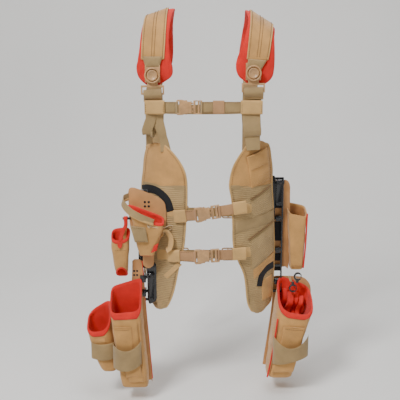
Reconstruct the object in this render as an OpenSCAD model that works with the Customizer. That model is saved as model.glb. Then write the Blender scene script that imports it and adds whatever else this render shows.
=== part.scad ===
// Tool vest: padded shoulder straps, two front panels, three front straps with
// side-release buckles, a back harness, and pouches that lift off two side rails.
// Origin between the shoulder rests, +Z up, front of the vest faces -Y.

/* [Torso] */
// Radius of the chest surface the panels follow
torso_r = 200; // [180:1:230]
// Distance of the chest axis behind the shoulder line
torso_y = 80; // [60:1:100]
// Thickness of a front panel
panel_t = 5; // [3:0.5:8]

/* [Shoulders] */
// Radius of the shoulder arch under the pad
arch_r = 90; // [75:1:110]
// Pad thickness
pad_t = 10; // [6:1:16]
// Pad width
pad_w = 78; // [60:1:90]
// Cover width
cover_w = 50; // [40:1:60]
// Cover thickness
cover_t = 3; // [2:0.5:5]
// Left shoulder centre
left_x = -114; // [-130:1:-100]
// Right shoulder centre
right_x = 124; // [100:1:130]
// Roll of the right shoulder, degrees
right_roll = 10; // [0:1:14]

/* [Webbing] */
// Harness webbing width
harness_w = 38; // [30:1:50]
// Chest and waist webbing width
strap_w = 25; // [20:1:30]
// Webbing thickness
web_t = 2; // [1.2:0.1:3]

/* [Buckles] */
// Height of a buckle across the strap
buckle_h = 34; // [30:1:40]
// Thickness of a buckle
buckle_t = 9; // [7:0.5:12]
// Tilt of the upper waist strap, degrees
upper_tilt = 8; // [0:1:15]

/* [Pouches] */
// Wall thickness of the pouches
wall = 4; // [3:0.5:6]

/* [Hidden] */
$fn = 96;

left_post = [-120, -136];   // x and z of the swivel posts
right_post = [105, -131];
post_y = -106;              // front face of the swivel plates
chest_line = [-38, -109.2, -207];
upper_line = [3, -130, -446];
lower_line = [2, -128.5, -548];
plan_turn = 8;              // the waist slides turn back with the chest

tan_cloth = [0.86, 0.68, 0.45];
webbing = [0.72, 0.62, 0.44];
lining = [0.9, 0.25, 0.15];
tan_plastic = [0.62, 0.42, 0.22];
black = [0.08, 0.08, 0.09];
hide = [0.8, 0.6, 0.4];

// ---------- helpers ----------
function unit(v) = v / norm(v);
function side(p, i) =
  let (d = unit(p[min(i + 1, len(p) - 1)] - p[max(i - 1, 0)])) [-d[1], d[0]];
function arc(c, r, a0, a1, n) =
  [for (i = [0:n]) let (a = a0 + (a1 - a0) * i / n) c + r * [cos(a), sin(a)]];

// band of even thickness along a flat path
module band(p, t) {
  n = len(p) - 1;
  polygon(concat([for (i = [0:n]) p[i] + side(p, i) * t / 2],
                 [for (i = [n:-1:0]) p[i] - side(p, i) * t / 2]));
}

// outline in X-Z, thick from y0 (front) to y1 (back)
module slab(pts, y0, y1) {
  translate([0, y1, 0]) rotate([90, 0, 0]) linear_extrude(height = y1 - y0) polygon(pts);
}

// profile in Y-Z, wide in X from x0
module across(x0, w) {
  translate([x0, 0, 0]) rotate([90, 0, 90]) linear_extrude(height = w) children();
}

// outline bent round the chest between two radii
module on_torso(pts, r0, r1) {
  intersection() {
    slab(pts, -150, 0);
    translate([0, torso_y, -760]) difference() {
      cylinder(r = r1, h = 600);
      translate([0, 0, -1]) cylinder(r = r0, h = 602);
    }
  }
}

module box(a, b) { translate(a) cube(b - a); }

// tube of rectangular section along X, centred on the origin
module tunnel(len_x, high, deep, t) {
  difference() {
    cube([len_x, deep + 2 * t, high + 2 * t], center = true);
    cube([len_x + 1, deep, high], center = true);
  }
}

// ---------- shoulders ----------
module shoulder_profile(r, t, front_z, back_z) {
  band(concat([[-r, front_z]], arc([0, -95], r, 180, 0, 36), [[r, back_z]]), t);
}

module pad_shape(x0, w, r, t, front_z, back_z) {
  across(x0, w) shoulder_profile(r, t, front_z, back_z);
}

module shoulder_pad() {
  color(lining) pad_shape(-pad_w / 2, pad_w, arch_r + pad_t / 2, pad_t, -158, -130);
}

module shoulder_cover() {
  color(tan_cloth)
    pad_shape(-cover_w / 2, cover_w, arch_r + pad_t + cover_t / 2 + 0.3, cover_t, -105, -120);
}

module left_shoulder() { translate([left_x, 0, 0]) children(); }
module right_shoulder() { translate([right_x, 0, 0]) rotate([0, right_roll, 0]) children(); }

module shoulder_pad_left() { left_shoulder() shoulder_pad(); }
module shoulder_pad_right() { right_shoulder() shoulder_pad(); }
module shoulder_cover_left() { left_shoulder() shoulder_cover(); }
module shoulder_cover_right() { right_shoulder() shoulder_cover(); }

// swivel: plate, post and cap on the pad; the loop turns between them
module swivel_base() {
  color(tan_plastic) {
    box([-17, post_y, -16], [17, post_y + 5.6, 22]);
    translate([0, post_y, 0]) rotate([90, 0, 0]) {
      cylinder(r = 8, h = 9);
      translate([0, 0, 6]) difference() {
        cylinder(r = 16.5, h = 3);
        translate([0, 0, 2]) cylinder(r = 13, h = 2);
      }
    }
  }
}

module swivel_loop() {
  color(tan_plastic) translate([0, post_y - 1, 0]) rotate([90, 0, 0]) linear_extrude(height = 4)
    difference() {
      union() {
        circle(r = 15);
        translate([-12, -24]) square([24, 16]);
        translate([-26, -43]) square([52, 21]);
      }
      circle(r = 8.4);
      translate([-22.5, -39]) square([45, 12.5]);
    }
}

module at_post(p) { translate([p[0], 0, p[1]]) children(); }
module swivel_base_left() { at_post(left_post) swivel_base(); }
module swivel_base_right() { at_post(right_post) swivel_base(); }
module swivel_loop_left() { at_post(left_post) swivel_loop(); }
module swivel_loop_right() { at_post(right_post) swivel_loop(); }

// webbing: rear leaf, fold over the loop's lower bar, front leaf, loose end in a lobe
module harness_webbing(post, foot_y) {
  zf = post[1] - 33;   // top of the fold
  color(webbing) {
    across(post[0] - 18, 36) {
      band([[foot_y, -305], [-102, post[1] - 60], [-104, zf - 14], [-104, zf + 1]], web_t);
      band([[-103, zf], [-115, zf]], web_t);
      band([[-114, zf + 1], [-114, zf - 12], [-104, zf - 19]], web_t);
    }
    across(post[0] - 12, 25)
      band(concat([[foot_y, -226], [foot_y - 5, -236]],
                  arc([foot_y, -252], 8, 150, 330, 12)), web_t);
  }
}
module harness_webbing_left() { harness_webbing(left_post, -101); }
module harness_webbing_right() { harness_webbing(right_post, -109); }

// keeper: sleeve in front of the harness webbing, open along X for the chest strap
module keeper(x) {
  color(tan_cloth) translate([x, chest_line[1], chest_line[2]]) tunnel(44, 27, 3.4, 1.5);
}
module keeper_left() { keeper(-118); }
module keeper_right() { keeper(106); }

// ---------- buckles, along +X from the socket to the plug ----------
module socket() {
  h = buckle_h / 2;
  color(tan_plastic) difference() {
    slab([[-29, 2 - h], [-26, -h], [-17, -h], [-11, 1.5 - h], [-5, 4.5 - h], [2, 4.5 - h], [5, 3 - h],
          [5, h - 3], [2, h - 4.5], [-5, h - 4.5], [-11, h - 1.5], [-17, h], [-26, h], [-29, h - 2]],
         -buckle_t / 2, buckle_t / 2);
    translate([-17, -2.9, -14]) cube([40, 5.8, 28]);
    for (s = [0, 1]) mirror([0, 0, s])
      translate([-15, -2.9, 12]) cube([30, 5.8, 10]);
    for (x = [-26.5]) translate([x, -6, -13.5]) cube([4, 12, 27]);
  }
}

module plug() {
  color(tan_plastic) {
    difference() {
      translate([9.2, -4, -15.5]) cube([20, 8, 31]);
      translate([14, -6, -13.5]) cube([5, 12, 27]);
      translate([23, -6, -13.5]) cube([2.5, 12, 27]);
    }
    translate([-8, -2.2, -2]) cube([18, 4.4, 4]);
  }
}

// one prong, hinged at its root; up = 1 for the top one, -1 for the bottom one
module prong(up) {
  color(tan_plastic) translate([0, 2.2, 0]) rotate([90, 0, 0]) linear_extrude(height = 4.4)
    polygon([for (p = [[8.6, 7.5], [8.6, 10.5], [-2, 10.5], [-6, 16.4], [-12, 15],
                                [-13.5, 9], [-11, 7.5]]) [p[0], up * p[1]]]);
}

module at_chest() { translate(chest_line) children(); }
module at_upper() { translate(upper_line) rotate([0, -upper_tilt, plan_turn]) children(); }
module at_lower() { translate(lower_line) rotate([0, -2, plan_turn]) children(); }

module chest_socket() { at_chest() socket(); }
module upper_socket() { at_upper() socket(); }
module lower_socket() { at_lower() socket(); }
module chest_plug() { at_chest() plug(); }
module upper_plug() { at_upper() plug(); }
module lower_plug() { at_lower() plug(); }
module chest_prong_top() { at_chest() prong(1); }
module chest_prong_bottom() { at_chest() prong(-1); }
module upper_prong_top() { at_upper() prong(1); }
module upper_prong_bottom() { at_upper() prong(-1); }
module lower_prong_top() { at_lower() prong(1); }
module lower_prong_bottom() { at_lower() prong(-1); }

// straps lie on the buckle line, from x0 to x1
module strap(x0, x1) {
  color(webbing) translate([x0, -web_t / 2, -strap_w / 2]) cube([x1 - x0, web_t, strap_w]);
}
module chest_strap_left() { at_chest() strap(-96, -29.3); }
module chest_strap_right() { at_chest() strap(29.5, 134); }
// the fixed waist straps turn back round the chest from the end of their socket
module fixed_end() { translate([-29.3, 0, 0]) rotate([0, 0, -26]) children(); }
module upper_strap_left() { at_upper() fixed_end() strap(-46, -1.2); }
module upper_strap_right() { at_upper() strap(29.5, 72); }
module lower_strap_left() { at_lower() fixed_end() strap(-62, -1.2); }
module lower_strap_right() { at_lower() strap(29.5, 72); }

module sleeve(x) { color(tan_cloth) translate([x, 0, 0]) tunnel(28, 27, 3.4, 1.5); }
module upper_sleeve_left() { at_upper() fixed_end() sleeve(-36); }
module upper_sleeve_right() { at_upper() sleeve(76); }
module lower_sleeve_left() { at_lower() fixed_end() sleeve(-50); }
module lower_sleeve_right() { at_lower() sleeve(76); }

// ---------- panels ----------
left_outline = [[-132, -291], [-121, -285], [-103, -289], [-88, -299], [-72, -315],
  [-58, -334], [-48, -354], [-44, -376], [-44, -427], [-51, -524], [-61, -564], [-75, -634],
  [-84, -664], [-95, -683], [-110, -692], [-129, -678], [-133, -655], [-140, -613],
  [-150, -560], [-152, -400], [-146, -357], [-144, -335], [-140, -312]];
right_outline = [[123, -285], [136, -290], [147, -302], [152, -327], [156, -356],
  [156, -396], [160, -440], [163, -498], [166, -546], [166, -605], [163, -640], [160, -687],
  [150, -693], [137, -703], [122, -706], [106, -690], [99, -667], [92, -604], [75, -560],
  [64, -525], [62, -475], [60, -425], [54, -390], [54, -376], [58, -354], [64, -337],
  [76, -317], [92, -297], [108, -288]];

module panel_left() { color(tan_cloth) on_torso(left_outline, torso_r, torso_r + panel_t); }
module panel_right() { color(tan_cloth) on_torso(right_outline, torso_r, torso_r + panel_t); }

module flap_pocket() {
  r = torso_r + panel_t;
  color(tan_cloth) on_torso([[94, -330], [142, -314], [142, -388], [101, -392]], r + 0.3, r + 5);
}
module pocket_flap() {
  r = torso_r + panel_t;
  color(tan_cloth) on_torso([[92, -321], [140, -303], [144, -335], [104, -350]], r + 5.4, r + 8);
}

// ---------- rails: ladder of rungs on each side, pouch hooks drop over the rungs ----------
left_rungs = [-430, -505, -610, -645];
right_rungs = [-480, -560, -600, -640];
left_rail = [-148, -84];    // x of the middle, y of the front face
right_rail = [176, -22];

module rail(at, rungs, top, foot) {
  box([at[0] - 12, at[1], foot], [at[0] - 8, at[1] + 4, top]);
  box([at[0] + 8, at[1], foot], [at[0] + 12, at[1] + 4, top]);
  for (z = concat(rungs, [top, foot + 6]))
    box([at[0] - 9, at[1], z - 6], [at[0] + 9, at[1] + 4, z]);
}
module rail_left() {
  color(black) {
    rail(left_rail, left_rungs, -400, -672);
    box([-140, -98, -611], [-136.5, -81, -597]);
    translate([-138, -93.5, -604]) rotate([0, 90, 0]) cylinder(r = 2, h = 16);
  }
}
module rail_right() {
  color(black) {
    rail(right_rail, right_rungs, -382, -672);
    for (x = [164, 185.5]) box([x, -34, -397], [x + 2.5, -19, -387]);
    translate([165, -30, -392]) rotate([0, 90, 0]) cylinder(r = 2, h = 22);
  }
}

// spring levers that keep the hooks down; pulled forward to free a pouch
module latch(x0, x1, y, z, reach) {
  color(black) difference() {
    union() {
      translate([x0, y, z]) rotate([0, 90, 0]) cylinder(r = 6, h = x1 - x0);
      box([x0, y - 2.5, z - reach], [x1, y + 2.5, z]);
      box([x0, y - 9, z - reach], [x1, y + 2.5, z - reach + 6]);
    }
    translate([x0 - 1, y, z]) rotate([0, 90, 0]) cylinder(r = 2.4, h = x1 - x0 + 2);
  }
}
module latch_left() { latch(-135.5, -124, -93.5, -604, 62); }
module latch_right() { latch(169, 183, -30, -392, 56); }

// hook from a plate face at y0 over a rung to y1 on its other side
module hook(x, z, y0, y1) {
  near = min(y0, y1);
  box([x - 6, near, z + 0.6], [x + 6, max(y0, y1), z + 4]);
  leg = y1 > y0 ? y1 - 3 : y1;
  box([x - 6, leg, z - 10], [x + 6, leg + 3, z + 4]);
}

// ---------- tool holder ----------
holder_outline = [[-179, -400], [-172, -392], [-160, -393], [-112, -412], [-96, -428],
  [-92, -480], [-122, -545], [-122, -580], [-126, -586], [-144, -586], [-148, -580],
  [-148, -545], [-176, -480]];
module holder_plate() {
  color(hide) {
    difference() {
      slab(holder_outline, -110, -107);
      for (x = [-141, -132], z = [-434, -424])
        translate([x, -100, z]) rotate([90, 0, 0]) cylinder(r = 2, h = 20);
    }
    for (z = [-430, -505]) {
      box([-154, -107.5, z + 0.6], [-142, -90, z + 4]);
      hook(-148, z, -92, -75);
    }
    translate([-193, -108.5, -463]) rotate([0, 90, 0]) cylinder(r = 3, h = 19);
  }
}
// tapered sleeve on the front of the plate, open at the top and through the bottom
module tool_holder() {
  color(tan_cloth) difference() {
    slab([[-174, -452], [-98, -452], [-119, -560], [-151, -560]], -138, -110.3);
    slab([[-170, -440], [-102, -440], [-122.5, -572], [-147.5, -572]], -135, -113.3);
  }
}
module holder_cord() {
  color([0.2, 0.15, 0.1]) for (s = [0, 1])
    translate([-138, -139.5, -468 - 12 * s]) rotate([0, 90, 0]) cylinder(r = 1, h = 44);
}

// ---------- small pouch on its hanger ----------
module pouch_hanger() {
  color(webbing) difference() {
    union() {
      translate([-190, -108.5, -463]) rotate([0, 90, 0]) cylinder(r = 5.5, h = 8);
      box([-190, -109.5, -490], [-182, -107.5, -466]);
    }
    translate([-191, -108.5, -463]) rotate([0, 90, 0]) cylinder(r = 3.4, h = 10);
  }
}
module small_pouch() {
  color(tan_cloth) difference() {
    slab([[-221, -490.3], [-178, -490.3], [-183, -606], [-215, -606]], -124, -94);
    slab([[-218, -480], [-181, -480], [-186, -620], [-212, -620]], -121, -97);
  }
}

// ---------- bags: tapered boxes, mouth sloping down to the front ----------
// p is the outline in X-Z from the mouth down; q the same outline inside the walls
module bag(p, q, y0, y1, mouth_back, mouth_front) {
  difference() {
    slab(p, y0, y1);
    slab(q, y0 + wall, y1 - wall);
    across(-400, 800) polygon([[y0 - 1, mouth_front], [y1 + 1, mouth_back],
                               [y1 + 1, 0], [y0 - 1, 0]]);
  }
}
module bag_left_plate() {
  color(hide) {
    difference() {
      slab([[-174, -566], [-152, -566], [-131, -871], [-205, -871], [-222, -670],
            [-200, -630], [-176, -628]], -96, -92);
      for (x = [-170, -163], z = [-604, -594])
        translate([x, -80, z]) rotate([90, 0, 0]) cylinder(r = 2, h = 30);
    }
  }
}
module bag_left_clip() {
  color(black) for (z = [-610, -645]) {
    box([-156, -99, z - 12], [-142, -96.3, z + 6]);
    box([-146, -97, z - 6], [-142, -88, z + 4]);
    hook(-148, z, -90, -75);
  }
}
module bag_left() {
  color(tan_cloth)
    bag([[-222, -628], [-164, -628], [-152, -690], [-138, -868], [-200, -868]],
        [[-218, -620], [-168, -620], [-156, -690], [-143, -864], [-196, -864]],
        -152, -96.3, -630, -690);
}
module bag_left_front() {
  color(tan_cloth)
    bag([[-284, -690], [-226, -690], [-213, -840], [-252, -840]],
        [[-280, -680], [-230, -680], [-217, -836], [-249, -836]],
        -128, -70, -692, -740);
}
module bag_left_sleeve() {
  color(tan_cloth) difference() {
    slab([[-216, -710], [-156, -710], [-150, -845], [-202, -845]], -174, -152.3);
    slab([[-212.5, -700], [-159.5, -700], [-153.5, -841], [-198.5, -841]], -170.5, -155.8);
  }
}

module holster() {
  color(tan_cloth) {
    slab([[160, -400], [204, -400], [204, -600], [160, -600]], -14, -10);
    for (z = [-480, -560]) hook(176, z, -13, -28);
    difference() {
      slab([[199, -455], [246, -455], [240, -612], [206, -612]], -34, 16);
      slab([[203, -440], [242, -440], [236.5, -608], [209.5, -608]], -30, 12);
      across(150, 200) polygon([[-36, -470], [18, -455], [18, -430], [-36, -430]]);
    }
  }
}

module bag_right_plate() {
  color(hide) {
    slab([[166, -632], [236, -634], [262, -662], [258, -712], [214, -868], [146, -868],
          [166, -700]], -14, -10);
    for (z = [-640]) hook(176, z, -13, -28);
    for (x = [205, 218]) box([x, -50, -637], [x + 6, -13.9, -633]);
  }
}
module bag_right() {
  color(tan_cloth)
    bag([[169, -706], [196, -690], [208, -634], [250, -634], [262, -664], [258, -712],
         [214, -866], [148, -866]],
        [[173, -710], [173, -600], [246, -600], [258, -664], [254, -712],
         [211, -862], [152, -862]],
        -105, -14.3, -640, -712);
}
module bag_right_sleeve() {
  color(tan_cloth) difference() {
    slab([[176, -725], [244, -725], [214, -852], [160, -852]], -127, -105.3);
    slab([[179.5, -715], [240.5, -715], [210.5, -848], [163.5, -848]], -123.5, -108.8);
  }
}

// ---------- snap hooks: open rings, each with a sprung gate ----------
hook_a = [224, -622];
hook_b = [213, -652];
module at_hook(p) { translate([p[0], -48, p[1]]) rotate([90, 0, 0]) children(); }
module snap_hooks() {
  color(black) for (p = [hook_a, hook_b]) at_hook(p) linear_extrude(height = 5) {
    difference() {
      circle(r = 10);
      circle(r = 6.5);
      translate([2, -5.8]) square([12, 10.8]);
    }
    translate([-4, p == hook_a ? -16 : 8.5]) square([6, 7.5]);
  }
}
module gate() { translate([7, -4.8, 1]) linear_extrude(height = 3) square([2, 9.4]); }
module gate_a() { color(black) at_hook(hook_a) gate(); }
module gate_b() { color(black) at_hook(hook_b) gate(); }

// ---------- back harness ----------
module back_harness() {
  plan = concat([[-145, -57], [-152, -32]], arc([-92, 62], 60, 180, 90, 3),
                arc([92, 62], 60, 90, 0, 3), [[152, -32], [145, -57]]);
  color(webbing) {
    for (x = [-154, 94]) across(x, harness_w)
      band([[102, -126], [112, -200], [126, -260], [126, -640]], web_t);
    for (z = [-501, -616]) translate([0, 0, z - strap_w / 2]) linear_extrude(height = strap_w)
      band(plan, web_t);
    box([-116, 112, -243], [94, 114, -218]);
  }
}

shoulder_pad_left();
shoulder_pad_right();
shoulder_cover_left();
shoulder_cover_right();
swivel_base_left();
swivel_base_right();
swivel_loop_left();
swivel_loop_right();
harness_webbing_left();
harness_webbing_right();
keeper_left();
keeper_right();
chest_strap_left();
chest_strap_right();
upper_strap_left();
upper_strap_right();
lower_strap_left();
lower_strap_right();
chest_socket();
upper_socket();
lower_socket();
chest_plug();
upper_plug();
lower_plug();
chest_prong_top();
chest_prong_bottom();
upper_prong_top();
upper_prong_bottom();
lower_prong_top();
lower_prong_bottom();
upper_sleeve_left();
upper_sleeve_right();
lower_sleeve_left();
lower_sleeve_right();
panel_left();
panel_right();
flap_pocket();
pocket_flap();
rail_left();
rail_right();
latch_left();
latch_right();
tool_holder();
holder_plate();
holder_cord();
small_pouch();
pouch_hanger();
bag_left_plate();
bag_left_clip();
bag_left();
bag_left_front();
bag_left_sleeve();
holster();
bag_right_plate();
bag_right();
bag_right_sleeve();
snap_hooks();
gate_a();
gate_b();
back_harness();
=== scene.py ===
import bmesh
import bpy
import math
import numpy as np
from bpy.props import FloatProperty, FloatVectorProperty, PointerProperty
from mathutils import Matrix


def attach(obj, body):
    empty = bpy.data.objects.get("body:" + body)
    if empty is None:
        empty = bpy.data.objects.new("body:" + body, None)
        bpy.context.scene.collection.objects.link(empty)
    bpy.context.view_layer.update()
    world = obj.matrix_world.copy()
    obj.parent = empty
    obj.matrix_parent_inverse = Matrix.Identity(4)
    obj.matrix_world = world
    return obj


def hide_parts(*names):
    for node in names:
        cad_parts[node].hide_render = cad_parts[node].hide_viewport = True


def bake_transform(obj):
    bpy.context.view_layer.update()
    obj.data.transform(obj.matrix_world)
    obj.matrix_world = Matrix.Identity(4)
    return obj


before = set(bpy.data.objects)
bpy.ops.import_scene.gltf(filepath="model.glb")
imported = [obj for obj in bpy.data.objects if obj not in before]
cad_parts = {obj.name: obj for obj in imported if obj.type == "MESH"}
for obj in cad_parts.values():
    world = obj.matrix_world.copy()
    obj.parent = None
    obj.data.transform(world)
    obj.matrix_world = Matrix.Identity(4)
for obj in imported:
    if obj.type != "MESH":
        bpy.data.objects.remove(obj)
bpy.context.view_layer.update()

bl_info = {
    "name": "Tool Vest",
    "version": (1, 0, 0),
    "blender": (4, 5, 0),
    "location": "View3D > Sidebar > Tool Vest",
    "description": "Builds a padded tool vest with lift-off pouches on its packed frame",
    "category": "Object",
}

# Places in millimetres, X to the right, Y to the back and Z up, as in the frame.
FRONT = (0, -1.0, 0)
CHEST_Y = 80.0  # axis of the upright cylinder that the panels lie on
PANEL_R = 202.6  # radius of the middle of a panel's thickness
POSTS = {"left": (-120, -136), "right": (105, -131)}  # swivel posts, x and z
# Middle of each buckle, with its tilt in the picture plane and its turn round the chest in degrees.
BUCKLES = {"chest": (-38, -109.2, -207, 0, 0), "upper": (3, -130, -446, 8, 8),
           "lower": (2, -128.5, -548, 2, 8)}
STITCH_PITCH, STITCH_LENGTH, STITCH_RADIUS = 4.4, 3.2, 0.62
CLOTH_FRAMES, CLOTH_PRESSURE = 20, 4.0


# ------------------------------------------------------------------ sizes and colours
class VestSizes(bpy.types.PropertyGroup):
    pad_crown: FloatProperty(name="Pad crown", description="How far the foam of a shoulder pad swells",
                             default=0.002, unit="LENGTH")
    panel_crown: FloatProperty(name="Panel crown", description="How far a front panel swells",
                               default=0.0025, unit="LENGTH")
    binding: FloatProperty(name="Binding radius", description="Radius of the bound edges",
                           default=0.0019, unit="LENGTH")
    rib_pitch: FloatProperty(name="Rib pitch", description="Spacing of the ribs in the webbing",
                             default=0.0021, unit="LENGTH")
    weave_pitch: FloatProperty(name="Weave pitch", description="Spacing of the threads in the cloth",
                               default=0.0011, unit="LENGTH")


class VestColours(bpy.types.PropertyGroup):
    cloth: FloatVectorProperty(name="Cloth", description="Main tan cloth", subtype="COLOR",
                               default=(0.62, 0.32, 0.095), min=0, max=1)
    keeper: FloatVectorProperty(name="Keeper", description="Paler strap keepers", subtype="COLOR",
                                default=(0.62, 0.37, 0.13), min=0, max=1)
    webbing: FloatVectorProperty(name="Webbing", description="Olive tan webbing", subtype="COLOR",
                                 default=(0.38, 0.25, 0.105), min=0, max=1)
    lining: FloatVectorProperty(name="Lining", description="Orange red lining", subtype="COLOR",
                                default=(0.80, 0.016, 0.006), min=0, max=1)
    plastic: FloatVectorProperty(name="Buckles", description="Tan moulded hardware", subtype="COLOR",
                                 default=(0.50, 0.28, 0.12), min=0, max=1)
    black: FloatVectorProperty(name="Rails", description="Black moulded hardware", subtype="COLOR",
                               default=(0.006, 0.006, 0.008), min=0, max=1)
    hide: FloatVectorProperty(name="Plates", description="Smooth pouch plates", subtype="COLOR",
                              default=(0.50, 0.235, 0.080), min=0, max=1)
    elastic: FloatVectorProperty(name="Waist straps", description="Brown elastic", subtype="COLOR",
                                 default=(0.44, 0.235, 0.105), min=0, max=1)
    cord: FloatVectorProperty(name="Cord", description="Pale tie cord", subtype="COLOR",
                              default=(0.74, 0.54, 0.31), min=0, max=1)


def sizes():
    """The lengths that the panel in the sidebar shows."""
    return bpy.context.scene.vest_sizes


def colours():
    """The colours that the panel in the sidebar shows."""
    return bpy.context.scene.vest_colours


# ------------------------------------------------------------------ materials
def node_material(name, colour, rough, sheen=0.0, coat=0.0):
    """A Principled material with its shader, and the node tree to add to."""
    mat = bpy.data.materials.new(name)
    mat.use_nodes = True
    tree = mat.node_tree
    bsdf = tree.nodes["Principled BSDF"]
    bsdf.inputs["Base Color"].default_value = (*colour, 1)
    bsdf.inputs["Roughness"].default_value = rough
    bsdf.inputs["Sheen Weight"].default_value = sheen
    bsdf.inputs["Sheen Roughness"].default_value = 0.45
    bsdf.inputs["Coat Weight"].default_value = coat
    bsdf.inputs["Coat Roughness"].default_value = 0.2
    return mat, tree, bsdf


def link(tree, a, b):
    """Joins output a to input b."""
    tree.links.new(a, b)


def noise(tree, vec, scale, detail=4.0, rough=0.55):
    """Cloudy noise from 0 to 1, with scale cells to a metre."""
    n = tree.nodes.new("ShaderNodeTexNoise")
    n.inputs["Scale"].default_value = scale
    n.inputs["Detail"].default_value = detail
    n.inputs["Roughness"].default_value = rough
    link(tree, vec, n.inputs["Vector"])
    return n.outputs["Fac"]


def waves(tree, vec, axis, pitch):
    """Even bands across one axis of the map, one band per pitch (metres)."""
    w = tree.nodes.new("ShaderNodeTexWave")
    w.wave_type = "BANDS"
    w.bands_direction = axis
    w.wave_profile = "SIN"
    w.inputs["Scale"].default_value = 2 * math.pi / (20 * pitch)
    w.inputs["Detail"].default_value = 0
    link(tree, vec, w.inputs["Vector"])
    return w.outputs["Fac"]


def math_node(tree, kind, a, b):
    """a and b, numbers or outputs, put together by one operation."""
    m = tree.nodes.new("ShaderNodeMath")
    m.operation = kind
    for sock, v in zip(m.inputs, (a, b)):
        if isinstance(v, (int, float)):
            sock.default_value = v
        else:
            link(tree, v, sock)
    return m.outputs[0]


def ramp(tree, fac, stops):
    """Colour for a value from 0 to 1: stops are (position, colour)."""
    r = tree.nodes.new("ShaderNodeValToRGB")
    el = r.color_ramp.elements
    while len(el) > 1:
        el.remove(el[-1])
    el[0].position = stops[0][0]
    el[0].color = (*stops[0][1], 1)
    for pos, col in stops[1:]:
        e = el.new(pos)
        e.color = (*col, 1)
    link(tree, fac, r.inputs["Fac"])
    return r.outputs["Color"]


def shade(c, k):
    """A colour times k, kept from 0 to 1."""
    return tuple(min(1.0, max(0.0, v * k)) for v in c)


def maps(tree):
    """Thread map (metres along and across each piece) and Object coordinates."""
    uv = tree.nodes.new("ShaderNodeUVMap")
    uv.uv_map = "Thread"
    co = tree.nodes.new("ShaderNodeTexCoord")
    return uv.outputs["UV"], co.outputs["Object"]


def bump_from(tree, bsdf, height, strength, depth):
    """Bumps the finish by a height value, depth metres deep."""
    bump = tree.nodes.new("ShaderNodeBump")
    bump.inputs["Strength"].default_value = strength
    bump.inputs["Distance"].default_value = depth
    link(tree, height, bump.inputs["Height"])
    link(tree, bump.outputs["Normal"], bsdf.inputs["Normal"])


def vary(tree, bsdf, tone, colour, gloss, stops, shades, roughs):
    """Colour runs through three shades at the stops of tone, and roughness through two at those of gloss."""
    col = ramp(tree, tone, [(at, shade(colour, k)) for at, k in zip(stops, shades)])
    link(tree, col, bsdf.inputs["Base Color"])
    grey = ramp(tree, gloss, [(at, (rough,) * 3) for at, rough in roughs])
    link(tree, grey, bsdf.inputs["Roughness"])


def woven(name, colour, pitch, depth=0.0004, ribs=None, sheen=0.25, rough=0.85):
    """Woven cloth: two crossed sets of threads, or ribs across a webbing, with faded patches and painted
    shade that darkens the grooves between threads and ribs.
    """
    mat, tree, bsdf = node_material(name, colour, rough, sheen=sheen)
    uv, obj = maps(tree)
    height = math_node(tree, "MULTIPLY", waves(tree, uv, "X", pitch), waves(tree, uv, "Y", pitch))
    if ribs:
        height = math_node(tree, "ADD", math_node(tree, "MULTIPLY", height, 0.35), waves(tree, uv, "Y", ribs))
    patch_tone = math_node(tree, "MULTIPLY", noise(tree, obj, 26, 5), 0.55)
    fuzz = noise(tree, obj, 900, 2)
    tone = math_node(tree, "ADD", patch_tone, math_node(tree, "MULTIPLY", fuzz, 0.22))
    # painted shade: the colour follows the thread and rib height, so the grooves between them come out darker
    tone = math_node(tree, "ADD", tone, math_node(tree, "MULTIPLY", height, 0.16))
    vary(tree, bsdf, tone, colour, fuzz, (0.25, 0.5, 0.75), (0.66, 1, 1.28),
         ((0.3, rough - 0.1), (0.7, min(1, rough + 0.08))))
    lumps = math_node(tree, "MULTIPLY", noise(tree, obj, 70, 5), 1.6)
    bump_from(tree, bsdf, math_node(tree, "ADD", height, lumps), 0.75, depth)
    return mat


def moulded(name, colour, rough, coat):
    """Moulded plastic: fine spark texture, faint scuffs in colour and gloss."""
    mat, tree, bsdf = node_material(name, colour, rough, coat=coat)
    obj = tree.nodes.new("ShaderNodeTexCoord").outputs["Object"]
    scuff = noise(tree, obj, 60, 6, 0.65)
    vary(tree, bsdf, scuff, colour, scuff, (0.35, 0.55, 0.8), (0.8, 1, 1.35),
         ((0.3, max(0.05, rough - 0.08)), (0.75, rough + 0.14)))
    bump_from(tree, bsdf, noise(tree, obj, 900, 2), 0.5, 0.00006)
    return mat


def smooth_hide(name, colour):
    """Smooth laminate: pebbled grain, soft mottling and worn patches."""
    mat, tree, bsdf = node_material(name, colour, 0.6, sheen=0.08)
    obj = tree.nodes.new("ShaderNodeTexCoord").outputs["Object"]
    pores = tree.nodes.new("ShaderNodeTexVoronoi")
    pores.inputs["Scale"].default_value = 520
    link(tree, obj, pores.inputs["Vector"])
    mottle = noise(tree, obj, 22, 6)
    vary(tree, bsdf, mottle, colour, mottle, (0.3, 0.52, 0.75), (0.78, 1, 1.22), ((0.3, 0.5), (0.7, 0.72)))
    bump_from(tree, bsdf, pores.outputs["Distance"], 0.45, 0.00018)
    return mat


STORE = {}  # finishes made so far


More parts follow.
